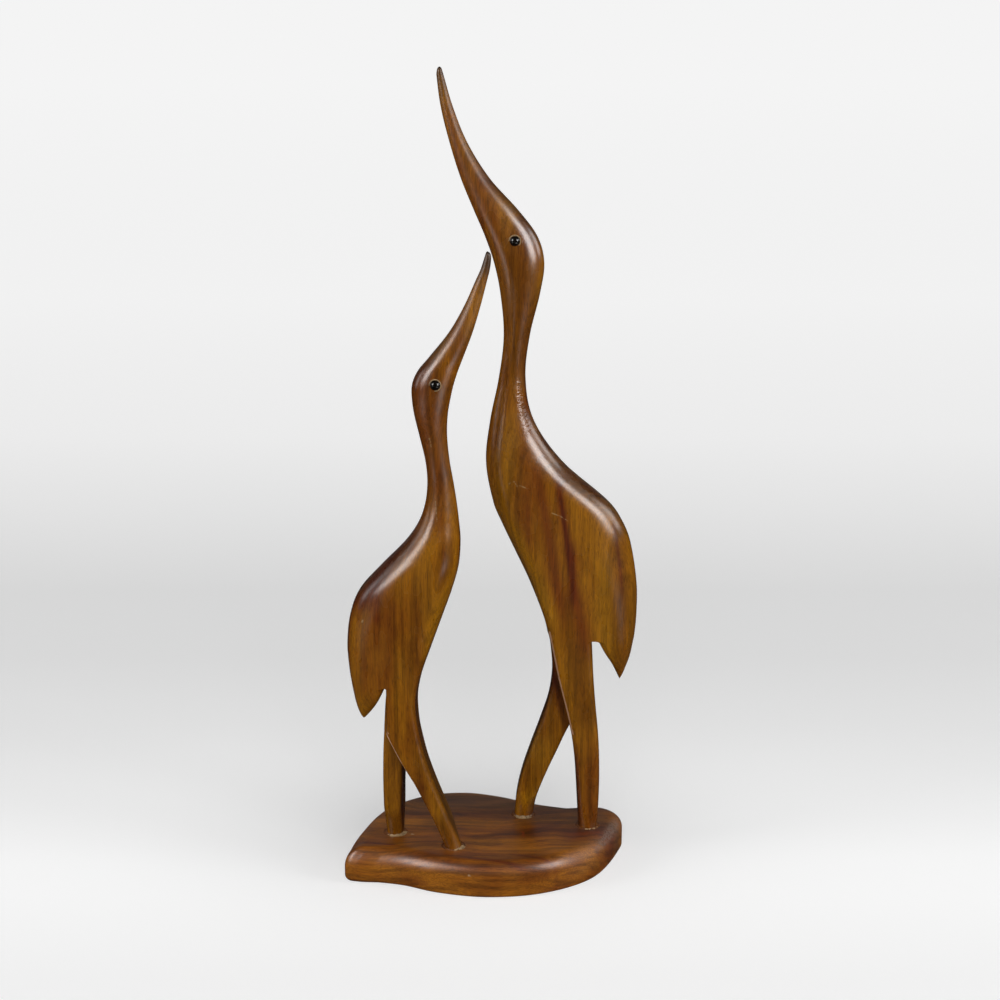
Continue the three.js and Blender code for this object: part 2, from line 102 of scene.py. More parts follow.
def size_at(rows: Rows, z: Floats, column: int = 1) -> Floats:
    """One size against height: cubic pieces through the rows, with slopes from each row's two neighbours.

    Args:
        rows: (height, size, ...) rows, from high to low.
        z: heights to read, in any shape.
        column: which size of a row is read.

    Returns:
        The size at each height, with z held within the rows.
    """
    table = np.asarray([(row[0], row[column]) for row in rows])[::-1]
    h, s = table[:, 0], table[:, 1]
    before = np.maximum(np.arange(len(h)) - 1, 0)
    after = np.minimum(np.arange(len(h)) + 1, len(h) - 1)
    slope = (s[after] - s[before]) / (h[after] - h[before])
    i = np.clip(np.searchsorted(h, z, side="right") - 1, 0, len(h) - 2)
    span = h[i + 1] - h[i]
    t = np.clip((z - h[i]) / span, 0.0, 1.0)
    start = (1 + 2 * t) * (1 - t) ** 2 * s[i] + t * (1 - t) ** 2 * span * slope[i]
    return start + t * t * (3 - 2 * t) * s[i + 1] - t * t * (1 - t) * span * slope[i + 1]


def points(x: Floats, y: Floats, z: Floats) -> Floats:
    """A grid of points from three arrays that broadcast to one shape."""
    return np.stack(np.broadcast_arrays(x, y, z), axis=-1)


class Skin:
    """A closed surface sewn from grids of points that share their border points."""

    def __init__(self) -> None:
        """Starts with no points and no faces."""
        self.points: list[Floats] = []
        self.faces: list[NDArray[np.int64]] = []
        self.count = 0

    def grid(self, patch: Floats, closed: bool = False) -> None:
        """Adds a grid of quads.

        Args:
            patch: points in an array of rows, columns and 3.
            closed: joins the last column to the first one.
        """
        rows, columns = patch.shape[:2]
        index = self.count + np.arange(rows * columns).reshape(rows, columns)
        if closed:
            index = np.concatenate([index, index[:, :1]], axis=1)
        quads = np.stack([index[:-1, :-1], index[:-1, 1:], index[1:, 1:], index[1:, :-1]], axis=-1)
        self.points.append(patch.reshape(-1, 3))
        self.faces.append(quads.reshape(-1, 4))
        self.count += rows * columns

    def fan(self, loop: Floats) -> None:
        """Closes a loop of points with quads that shrink onto its middle."""
        self.grid(np.stack([loop, np.broadcast_to(loop.mean(axis=0), loop.shape)]), closed=True)

    def mesh(self, name: str, crease: float) -> bpy.types.Object:
        """Sews the grids into one closed mesh with its faces out.

        Args:
            name: the new object's name.
            crease: angle between two faces, in degrees, past which their edge is shaded as sharp.

        Returns:
            The object, linked to the scene.
        """
        made = bpy.data.meshes.new(name)
        made.from_pydata(np.concatenate(self.points) * MM, [], np.concatenate(self.faces).tolist())
        cloth = bmesh.new()
        cloth.from_mesh(made)
        bmesh.ops.remove_doubles(cloth, verts=cloth.verts, dist=WELD)
        bmesh.ops.dissolve_degenerate(cloth, edges=cloth.edges, dist=WELD)
        bmesh.ops.recalc_face_normals(cloth, faces=cloth.faces)
        open_edges = sum(1 for edge in cloth.edges if len(edge.link_faces) != 2)
        if open_edges:
            log.warning("%s has %d open edges", name, open_edges)
        cloth.to_mesh(made)
        cloth.free()
        made.shade_smooth()
        made.set_sharp_from_angle(angle=math.radians(crease))
        piece = bpy.data.objects.new(name, made)
        bpy.context.scene.collection.objects.link(piece)
        return piece


def dress(piece: bpy.types.Object, material: bpy.types.Material) -> None:
    """Gives a piece its material and its slot, and sets it riding on the one body.

    Args:
        piece: the piece.
        material: its only material.
    """
    piece.data.materials.clear()
    piece.data.materials.append(material)
    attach(piece, "root")


# Finishes


class Recipe:
    """A material's node tree, built by short calls."""

    MIX_INPUTS = (0, 6, 7)  # a colour Mix node's factor and its two colours
    MIX_RESULT = 2

    def __init__(self, name: str) -> None:
        """Makes the material and its shader.

        Args:
            name: the material's name.
        """
        self.material = bpy.data.materials.new(name)
        self.material.use_nodes = True
        self.tree = self.material.node_tree
        self.shader = self.tree.nodes["Principled BSDF"]

    def fill(self, socket: Socket, value: object) -> None:
        """Wires a socket to another one, or sets it to a plain value.

        Args:
            socket: the input.
            value: a socket or a plain value.
        """
        if isinstance(value, bpy.types.NodeSocket):
            self.tree.links.new(value, socket)
        else:
            socket.default_value = value

    def node(self, kind: str, inputs: dict | None = None, **settings: object) -> bpy.types.Node:
        """Adds a node.

        Args:
            kind: the node's type, without the words that all shader nodes begin with.
            inputs: values and sockets for its inputs, by name or number.
            settings: its own properties.

        Returns:
            The node.
        """
        made = self.tree.nodes.new("ShaderNode" + kind)
        for key, value in settings.items():
            setattr(made, key, value)
        for key, value in (inputs or {}).items():
            self.fill(made.inputs[key], value)
        return made

    def math(self, operation: str, *values: object, clamp: bool = False) -> Socket:
        """One Math node over two or three values or sockets."""
        return self.node("Math", dict(enumerate(values)), operation=operation, use_clamp=clamp).outputs[0]

    def vector(self, operation: str, *values: object, out: int | str = 0) -> Socket:
        """One Vector Math node over one or two vectors."""
        return self.node("VectorMath", dict(enumerate(values)), operation=operation).outputs[out]

    def scaled(self, vector: Socket, scale: Triple) -> Socket:
        """A vector times a factor along each axis."""
        return self.vector("MULTIPLY", vector, scale)

    def product(self, value: Socket, *others: object) -> Socket:
        """A value multiplied by others, one after another.

        Args:
            value: the first factor.
            others: the others, sockets or plain numbers.

        Returns:
            The product.
        """
        for other in others:
            value = self.math("MULTIPLY", value, other)
        return value

    def bell(self, distance: Socket) -> Socket:
        """A bell over a distance: e to the power -d^2."""
        return self.math("EXPONENT", self.product(distance, distance, -1.0))

    def noise(self, vector: Socket, octaves: float = 3.0, weight: float = 0.5) -> Socket:
        """Noise of scale 1 over a vector, from 0 to 1."""
        settings = {"Vector": vector, "Scale": 1.0, "Detail": octaves, "Roughness": weight}
        return self.node("TexNoise", settings).outputs[0]

    def ramp(self, factor: Socket, stops: Sequence[tuple[float, Colour]]) -> Socket:
        """Colours along a factor.

        Args:
            factor: the factor, from 0 to 1.
            stops: places along it, each with its colour.

        Returns:
            The colour.
        """
        made = self.node("ValToRGB", {0: factor})
        band = made.color_ramp.elements
        while len(band) < len(stops):
            band.new(0.5)
        for element, (place, colour) in zip(band, stops):
            element.position = place
            element.color = (*colour, 1.0)
        return made.outputs[0]

    def span(self, value: Socket, low: float, high: float, to: Pair = (0.0, 1.0)) -> Socket:
        """Maps low..high to 0..1, or to another pair, smoothly and held at both ends."""
        settings = {"Value": value, "From Min": low, "From Max": high, "To Min": to[0], "To Max": to[1]}
        return self.node("MapRange", settings, interpolation_type="SMOOTHSTEP").outputs[0]

    def mix(
        self, factor: float | Socket, low: Colour | Socket, high: Colour | Socket, blend: str = "MIX"
    ) -> Socket:
        """One colour mixed into another.

        Args:
            factor: share of the second colour.
            low: the first colour.
            high: the second colour.
            blend: how the second one acts on the first.

        Returns:
            The mixed colour.
        """
        made = self.node("Mix", data_type="RGBA", blend_type=blend)
        for index, value in zip(self.MIX_INPUTS, (factor, low, high)):
            self.fill(made.inputs[index], (*value, 1.0) if isinstance(value, tuple) else value)
        return made.outputs[self.MIX_RESULT]

    def toned(self, colour: Socket, tone: Socket) -> Socket:
        """A colour times a plain tone."""
        tint = self.node("CombineColor", {0: tone, 1: tone, 2: tone}).outputs[0]
        return self.mix(1.0, colour, tint, "MULTIPLY")

    def from_line(self, vector: Socket, start: Triple, end: Triple) -> Socket:
        """Distance of a vector from the straight line between two points.

        Args:
            vector: the vector.
            start: the line's start.
            end: its end.

        Returns:
            The distance, in the vector's own unit.
        """
        way = np.subtract(end, start)
        off = self.vector("SUBTRACT", vector, start)
        run = self.vector("DOT_PRODUCT", off, way, out="Value")
        share = self.math("MULTIPLY", run, 1.0 / max(float(way @ way), TINY), clamp=True)
        near = self.node("VectorMath", {0: way, "Scale": share}, operation="SCALE").outputs[0]
        return self.vector("DISTANCE", off, near, out="Value")

    def finish(self, **sockets: object) -> bpy.types.Material:
        """Sets or wires the shader's own sockets.

        Args:
            sockets: values and sockets by the shader's names, with _ for a space.

        Returns:
            The material.
        """
        for key, value in sockets.items():
            self.fill(self.shader.inputs[key.replace("_", " ")], value)
        return self.material


BIRD_GOLDEN = (0.38, 0.142, 0.003)
BIRD_BROWN = (0.28, 0.09, 0.003)
BIRD_DEEP = (0.16, 0.034, 0.003)
PALE_OLIVE = (0.4, 0.17, 0.004)
# golden wood, painted paler as light where the edges would fall into shade
GOLD_AND_PAINTED_LIGHT = (0.58, 0.25, 0.01)
DARK_OLIVE = (0.14, 0.042, 0.002)
DARK_BROWN = (0.15, 0.036, 0.003)
DARK_RED = (0.15, 0.022, 0.004)
DEEP_RED = (0.1, 0.012, 0.003)
# painted shade: the dark band down a leg's edge where the light is blocked
PAINTED_SHADE_RED = (0.09, 0.01, 0.003)
RED_SPECK = (0.3, 0.04, 0.01)
# painted shade: the deepest shade between the legs and beside the layer steps
PAINTED_DEEP_SHADE = (0.03, 0.004, 0.002)
# greyish dark brown: dust by the feet, and a painted sheen along the back of the top
DUST_AND_SHEEN_BROWN = (0.1, 0.05, 0.028)
# dust and a painted sheen on the base's rounded right corner
DUST_AND_SHEEN_EDGE = (0.22, 0.13, 0.085)
PALE_SCRATCH = (0.5, 0.33, 0.16)
# painted highlight: the thin bright line where a layer's step edge catches the light
PAINTED_EDGE_HIGHLIGHT = (0.75, 0.44, 0.29)
LACQUER_CHIP = (0.62, 0.45, 0.27)
GLUE_CREAM = (0.46, 0.3, 0.15)
GLUE_BROWN = (0.2, 0.065, 0.012)
BEAD_BLACK = (0.002, 0.0018, 0.0015)
BEAD_HAZE = (0.012, 0.009, 0.007)


class GrainRun(Enum):
    """Which way the fibres run."""

    UPRIGHT = 2
    LENGTHWISE = 0


@dataclass(frozen=True)
class Pattern:
    """A noise in the wood: turns per millimetre across the grain and along it, octaves and their weight."""

    across: float
    along: float
    octaves: float = 3.0
    weight: float = 0.6
    aside: float | None = None  # turns per millimetre the other way across, where they differ


@dataclass(frozen=True)
class Streak:
    """A band along the grain, of other wood, of painted shade or of painted light, between two places given
    as (across, along).
    """

    start: Pair
    end: Pair
    width: float
    strength: float
    side: int = 0  # -1 or +1 keeps it to one half of the thickness
    colour: Colour = DARK_RED


@dataclass(frozen=True)
class Mark:
    """A scratch, a speck or a painted highlight: a short line with the colour that it shows."""

    start: Triple
    end: Triple
    width: float
    colour: Colour
    strength: float = 0.7
    broken: bool = True


@dataclass(frozen=True)
class Stretch:
    """A stretch of the surface along a straight line that a tool or wear has changed."""

    start: Triple
    end: Triple
    width: float
    strength: float


@dataclass(frozen=True)
class Wood:
    """Lacquered hardwood: growth sheets, fibres and pores along its grain, with its own streaks and marks,
    some of them painted shade and painted highlights.

    A span is the range over which something changes, and tones are what it changes between.
    """

    name: str
    run: GrainRun
    golden: Colour
    brown: Colour
    deep: Colour
    place: Triple = (0.0, 0.0, 0.0)
    turn: float = 0.0
    seed: float = 0.0
    # the grain
    sway: float = 5.0
    streak_sway: float = 1.5
    swaying: Pattern = Pattern(0.018, 0.014, 2.0, 0.5)
    broad: Pattern = Pattern(0.07, 0.006, weight=0.55)
    patches: Pattern = Pattern(0.06, 0.03)
    broad_share: float = 0.65  # the share of the broad pattern in the tone, the rest being the patches'
    tone_stops: Triple = (0.36, 0.46, 0.56)  # where the deep, the brown and the golden wood stand
    sheets: Pattern = Pattern(0.75, 0.012, 2.0, 0.55, aside=0.09)
    sheet_turn: float = 50.0
    sheet_span: Pair = (0.33, 0.6)
    sheet_strength: float = 0.3
    sheet_pale: float = 1.05
    fibres: Pattern = Pattern(2.4, 0.06)
    fibre_span: Pair = (0.3, 0.7)
    fibre_tones: Pair = (0.75, 1.2)
    pores: Pattern = Pattern(3.2, 0.25, 1.0, 0.4)
    pore_span: Pair = (0.33, 0.43)
    pore_tone: float = 0.66
    # painted shade on the edges: darker where they turn away from the faces and where they look up
    side_edge_shade: float = 1.0  # painted shade: tone of the plank's edges, against its faces
    side_span: Pair = (0.72, 0.97)
    upper_edge_shade: float = 1.0  # painted shade: tone of the edges that look up
    upper_span: Pair = (0.12, 0.7)
    dark_end: Pair = (0.0, 0.0)  # heights between which the wood darkens towards the bill's tip
    tip_tone: float = 0.2
    # streaks and marks
    streaks: tuple[Streak, ...] = ()
    # share of a streak's length over which it fades within each end; half of that lies beyond the end
    streak_fade: float = 0.25
    half_border: float = 0.4  # how softly a one-sided streak stops at the plank's middle
    marks: tuple[Mark, ...] = ()
    mark_scale: Triple = (1.0, 1.0, 1.0)  # how much each way counts in the distance from a mark
    mark_rim: Pair = (0.9, 1.6)  # where a mark fades, in its own widths
    gap_scale: float = 1.1  # of the gaps in broken marks, turns per millimetre
    gap_span: Pair = (0.4, 0.55)
    # relief and lacquer
    tool_marks: tuple[Stretch, ...] = ()
    tool_core: float = 0.5  # how far from its line a tool mark ripples in full
    ripple_scale: Triple = (0.5, 0.5, 1.3)
    ripple_relief: float = 10.0
    fibre_relief: float = 0.4
    pore_relief: float = 0.6
    relief_depth: float = 0.12
    relief_strength: float = 0.3
    roughness: float = 0.27
    gloss_span: Pair = (0.3, 0.7)
    gloss_change: Pair = (-0.04, 0.05)
    mirror: float = 0.5  # how strongly the lacquer mirrors
    satin_from: Pair = (0.0, 0.0)  # heights between which the lacquer turns from gloss to satin
    satin_mirror: float = 0.38
    satin_roughness: float = 0.15
    dull_patches: tuple[Stretch, ...] = ()
    dull_roughness: float = 0.3
    refraction: float = 1.47

    def own_frame(self, recipe: Recipe) -> Socket:
        """Object coordinates in millimetres, in the piece's own frame.

        Args:
            recipe: the material that they are for.

        Returns:
            The coordinates.
        """
        settings = {
            "Vector": recipe.node("TexCoord").outputs["Object"],
            "Location": tuple(v * MM for v in self.place),
            "Rotation": (0.0, 0.0, math.radians(self.turn)),
            "Scale": (MM, MM, MM),
        }
        return recipe.node("Mapping", settings, vector_type="TEXTURE").outputs[0]

    def pattern(self, recipe: Recipe, vector: Socket, shape: Pattern) -> Socket:
        """One pattern, laid along the grain.

        Args:
            recipe: the material that it is for.
            vector: where it is read.
            shape: its scales and octaves.

        Returns:
            Its level, from 0 to 1.
        """
        aside = shape.across if shape.aside is None else shape.aside
        scale = (shape.across, aside, shape.along)
        if self.run is GrainRun.LENGTHWISE:
            scale = (shape.along, aside, shape.across)
        return recipe.noise(recipe.scaled(vector, scale), shape.octaves, shape.weight)

    def swayed(self, recipe: Recipe, own: Socket, reach: float) -> Socket:
        """The frame pushed slowly sideways, so that the grain wanders.

        Args:
            recipe: the material that it is for.
            own: the frame.
            reach: how far it is pushed at most.

        Returns:
            The pushed frame.
        """
        sway = self.pattern(recipe, own, self.swaying)
        swing = recipe.math("MULTIPLY", recipe.math("SUBTRACT", sway, 0.5), 2 * reach)
        axes = {0: swing, 1: swing} if self.run is GrainRun.UPRIGHT else {1: swing, 2: swing}
        return recipe.vector("ADD", own, recipe.node("CombineXYZ", axes).outputs[0])

    def edge_shade(self, recipe: Recipe) -> Socket:
        """Painted shade over the wood: a tone that is darker on the plank's edges and where the surface
        looks up.

        Args:
            recipe: the material that it is for.

        Returns:
            The darker tone of the two.
        """
        normal = recipe.node("TexCoord").outputs["Normal"]
        turn = math.radians(self.turn)
        face_way = (-math.sin(turn), math.cos(turn), 0.0)
        square = recipe.vector("DOT_PRODUCT", normal, face_way, out="Value")
        tilt = recipe.math("SUBTRACT", 1.0, recipe.math("ABSOLUTE", square))
        side = recipe.span(tilt, *self.side_span, (1.0, self.side_edge_shade))
        upward = recipe.node("SeparateXYZ", {0: normal}).outputs[2]
        upper = recipe.span(upward, *self.upper_span, (1.0, self.upper_edge_shade))
        return recipe.math("MINIMUM", side, upper)

    def with_streaks(self, recipe: Recipe, own: Socket, colour: Socket) -> Socket:
        """Lays the streaks over a colour: each a bell across the grain about a straight line.

        Args:
            recipe: the material that they are for.
            own: the piece's own frame.
            colour: the wood's colour under them.

        Returns:
            The colour with them.
        """
        apart = recipe.node("SeparateXYZ", {0: own})
        along = apart.outputs[self.run.value]
        across = apart.outputs[0 if self.run is GrainRun.UPRIGHT else 1]
        for streak in self.streaks:
            (x0, z0), (x1, z1) = streak.start, streak.end
            slope = (x1 - x0) / (z1 - z0)
            line = recipe.math("MULTIPLY_ADD", along, slope, x0 - slope * z0)
            off = recipe.math("DIVIDE", recipe.math("SUBTRACT", across, line), streak.width)
            low, high = min(z0, z1), max(z0, z1)
            fade = self.streak_fade * (high - low)
            lower = recipe.span(along, low - fade / 2, low + fade)
            upper = recipe.span(along, high - fade, high + fade / 2, (1.0, 0.0))
            shown = recipe.product(lower, upper, recipe.bell(off), streak.strength)
            if streak.side:
                half = recipe.math("MULTIPLY", apart.outputs[1], float(streak.side))
                inside = recipe.span(half, -self.half_border, self.half_border)
                shown = recipe.math("MULTIPLY", shown, inside)
            colour = recipe.mix(shown, colour, streak.colour)
        return colour

    def with_marks(self, recipe: Recipe, own: Socket, fibres: Socket, colour: Socket) -> Socket:
        """Lays the marks over a colour, ragged by the fibres and some of them broken by gaps.

        Args:
            recipe: the material that they are for.
            own: the piece's own frame.
            fibres: level of the fibres.
            colour: the wood's colour under them.

        Returns:
            The colour with them.
        """
        flat = recipe.scaled(own, self.mark_scale)
        gaps = recipe.noise(recipe.scaled(own, (self.gap_scale,) * 3), 2.0)
        unbroken = recipe.span(gaps, *self.gap_span)
        for mark in self.marks:
            start, end = (tuple(np.multiply(place, self.mark_scale)) for place in (mark.start, mark.end))
            ragged = recipe.math("MULTIPLY_ADD", fibres, mark.width, recipe.from_line(flat, start, end))
            inner, outer = (mark.width * share for share in self.mark_rim)
            shown = recipe.span(ragged, inner, outer, (mark.strength, 0.0))
            shown = recipe.math("MULTIPLY", shown, unbroken) if mark.broken else shown
            colour = recipe.mix(shown, colour, mark.colour)
        return colour

    def relief(self, recipe: Recipe, own: Socket, fibres: Socket, pitted: Socket) -> Socket:
        """The fine relief of the fibres, the pores and the tool's ripples.

        Args:
            recipe: the material that it is for.
            own: the piece's own frame.
            fibres: level of the fibres.
            pitted: tone of the pores.

        Returns:
            The shading normal.
        """
        pits = recipe.math("MULTIPLY", pitted, self.pore_relief)
        height = recipe.math("MULTIPLY_ADD", fibres, self.fibre_relief, pits)
        for tool in self.tool_marks:
            far = recipe.from_line(own, tool.start, tool.end)
            near = recipe.span(far, self.tool_core, tool.width, (tool.strength, 0.0))
            ripple = recipe.noise(recipe.scaled(own, self.ripple_scale), 1.0)
            ripple = recipe.math("MULTIPLY", ripple, near)
            height = recipe.math("MULTIPLY_ADD", ripple, self.ripple_relief, height)
        settings = {"Strength": self.relief_strength, "Distance": self.relief_depth * MM, "Height": height}
        return recipe.node("Bump", settings).outputs[0]

    def lacquer(self, recipe: Recipe, own: Socket, patches: Socket) -> tuple[Socket, float | Socket]:
        """The lacquer's gloss.

        Args:
            recipe: the material that it is for.
            own: the piece's own frame.
            patches: level of the patches.

        Returns:
            Its roughness, and how strongly it mirrors.
        """
        limits = tuple(self.roughness + change for change in self.gloss_change)
        rough = recipe.span(patches, *self.gloss_span, limits)
        mirror = self.mirror
        if self.satin_from[1]:
            height = recipe.node("SeparateXYZ", {0: own}).outputs[2]
            satin = recipe.span(height, *self.satin_from, (0.0, self.satin_roughness))
            rough = recipe.math("ADD", rough, satin)
            mirror = recipe.span(height, *self.satin_from, (self.mirror, self.satin_mirror))
        for dull in self.dull_patches:
            far = recipe.from_line(own, dull.start, dull.end)
            near = recipe.span(far, 0.0, dull.width, (dull.strength, 0.0))
            rough = recipe.math("MULTIPLY_ADD", near, self.dull_roughness, rough)
        return rough, mirror

    def material(self) -> bpy.types.Material:
        """Builds the finish: streaks, sheets and fibres colour it, painted shade darkens its edges, pores
        pit it and lacquer covers it.

        Returns:
            The material.
        """
        recipe = Recipe(self.name)
        own = self.own_frame(recipe)
        moved = recipe.vector("ADD", own, (self.seed,) * 3)
        grain = self.swayed(recipe, moved, self.sway)
        axis = "Z_AXIS" if self.run is GrainRun.UPRIGHT else "X_AXIS"
        settings = {"Vector": grain, "Angle": math.radians(self.sheet_turn)}
        turned = recipe.node("VectorRotate", settings, rotation_type=axis).outputs[0]
        patches = self.pattern(recipe, moved, self.patches)
        fibres = self.pattern(recipe, grain, self.fibres)
        pitted = recipe.span(self.pattern(recipe, grain, self.pores), *self.pore_span, (self.pore_tone, 1.0))

        broad = recipe.math("MULTIPLY", self.pattern(recipe, grain, self.broad), self.broad_share)
        level = recipe.math("MULTIPLY_ADD", patches, 1.0 - self.broad_share, broad)
        colour = recipe.ramp(level, tuple(zip(self.tone_stops, (self.deep, self.brown, self.golden))))
        colour = self.with_streaks(recipe, self.swayed(recipe, own, self.streak_sway), colour)

        sheet_tones = (1.0 - self.sheet_strength, self.sheet_pale)
        sheets = recipe.span(self.pattern(recipe, turned, self.sheets), *self.sheet_span, sheet_tones)
        fine = recipe.span(fibres, *self.fibre_span, self.fibre_tones)
        tone = recipe.product(sheets, fine, pitted, self.edge_shade(recipe))
        if self.dark_end[1]:
            height = recipe.node("SeparateXYZ", {0: own}).outputs[2]
            tip = recipe.span(height, *self.dark_end, (1.0, self.tip_tone))
            tone = recipe.math("MULTIPLY", tone, tip)
        colour = self.with_marks(recipe, own, fibres, recipe.toned(colour, tone))
        rough, mirror = self.lacquer(recipe, own, patches)
        normal = self.relief(recipe, own, fibres, pitted)
        return recipe.finish(
            Base_Color=colour, Roughness=rough, Specular_IOR_Level=mirror, Normal=normal, IOR=self.refraction
        )


@dataclass(frozen=True)
class BlackBead:
    """Polished black bead with a trace of haze and dust."""

    name: str = "black_bead"
    haze_scale: float = 700.0  # turns per metre
    colour_span: Pair = (0.35, 0.7)
    rough_span: Pair = (0.4, 0.7)
    roughness: Pair = (0.03, 0.08)
    mirror: float = 0.3
    refraction: float = 1.5

    def material(self) -> bpy.types.Material:
        """Near-black with a slow change of tone, and patches a little less polished than the rest.

        Returns:
            The material.
        """
        recipe = Recipe(self.name)
        own = recipe.node("TexCoord").outputs["Object"]
        haze = recipe.noise(recipe.scaled(own, (self.haze_scale,) * 3), 3.0)
        colour = recipe.ramp(haze, tuple(zip(self.colour_span, (BEAD_BLACK, BEAD_HAZE))))
        rough = recipe.span(haze, *self.rough_span, self.roughness)
        return recipe.finish(
            Base_Color=colour, Roughness=rough, IOR=self.refraction, Specular_IOR_Level=self.mirror
        )


@dataclass(frozen=True)
class DriedGlue:
    """Dried glue and wood dust round a foot: brown for the most part, cream where it lies thick."""

    name: str
    centre: Pair = (0.0, 0.0)
    pale_way: float = -90.0  # degrees, the way from the centre to the palest part
    pale_reach: float = 0.2  # 1 keeps the cream to that way alone, -1 spreads it all round
    border: Pair = (0.12, 0.2)  # how far the cream fades to each side of its reach
    ragged: float = 1.6
    patch_scale: float = 900.0  # turns per metre
    patch_octaves: float = 4.0
    patch_weight: float = 0.6
    patch_span: Pair = (0.3, 0.7)
    patch_tones: Pair = (0.6, 1.15)
    relief_depth: float = 0.2
    relief_strength: float = 0.5
    roughness: float = 0.6
    mirror: float = 0.25

    def material(self) -> bpy.types.Material:
        """Cream where the way from the centre is near the pale way and brown elsewhere, the border ragged.

        Returns:
            The material.
        """
        recipe = Recipe(self.name)
        own = recipe.node("TexCoord").outputs["Object"]
        off = recipe.vector("SUBTRACT", own, tuple(v * MM for v in (*self.centre, BASE_THICKNESS)))
        way = recipe.vector("NORMALIZE", recipe.scaled(off, (1.0, 1.0, 0.0)))
        a = math.radians(self.pale_way)
        near = recipe.vector("DOT_PRODUCT", way, (math.cos(a), math.sin(a), 0.0), out="Value")
        scaled = recipe.scaled(own, (self.patch_scale,) * 3)
        patches = recipe.noise(scaled, self.patch_octaves, self.patch_weight)
        level = recipe.math("MULTIPLY_ADD", recipe.math("SUBTRACT", patches, 0.5), self.ragged, near)
        shown = recipe.span(level, self.pale_reach - self.border[0], self.pale_reach + self.border[1])
        colour = recipe.mix(shown, GLUE_BROWN, GLUE_CREAM)
        colour = recipe.toned(colour, recipe.span(patches, *self.patch_span, self.patch_tones))
        settings = {"Strength": self.relief_strength, "Distance": self.relief_depth * MM, "Height": patches}
        bump = recipe.node("Bump", settings).outputs[0]
        return recipe.finish(
            Base_Color=colour, Roughness=self.roughness, Specular_IOR_Level=self.mirror, Normal=bump
        )


# Birds


@dataclass(frozen=True)
class EdgeRound:
    """How far in from an edge its rounding reaches at each height, and how square it is."""

    reach: Floats
    sharpness: Floats


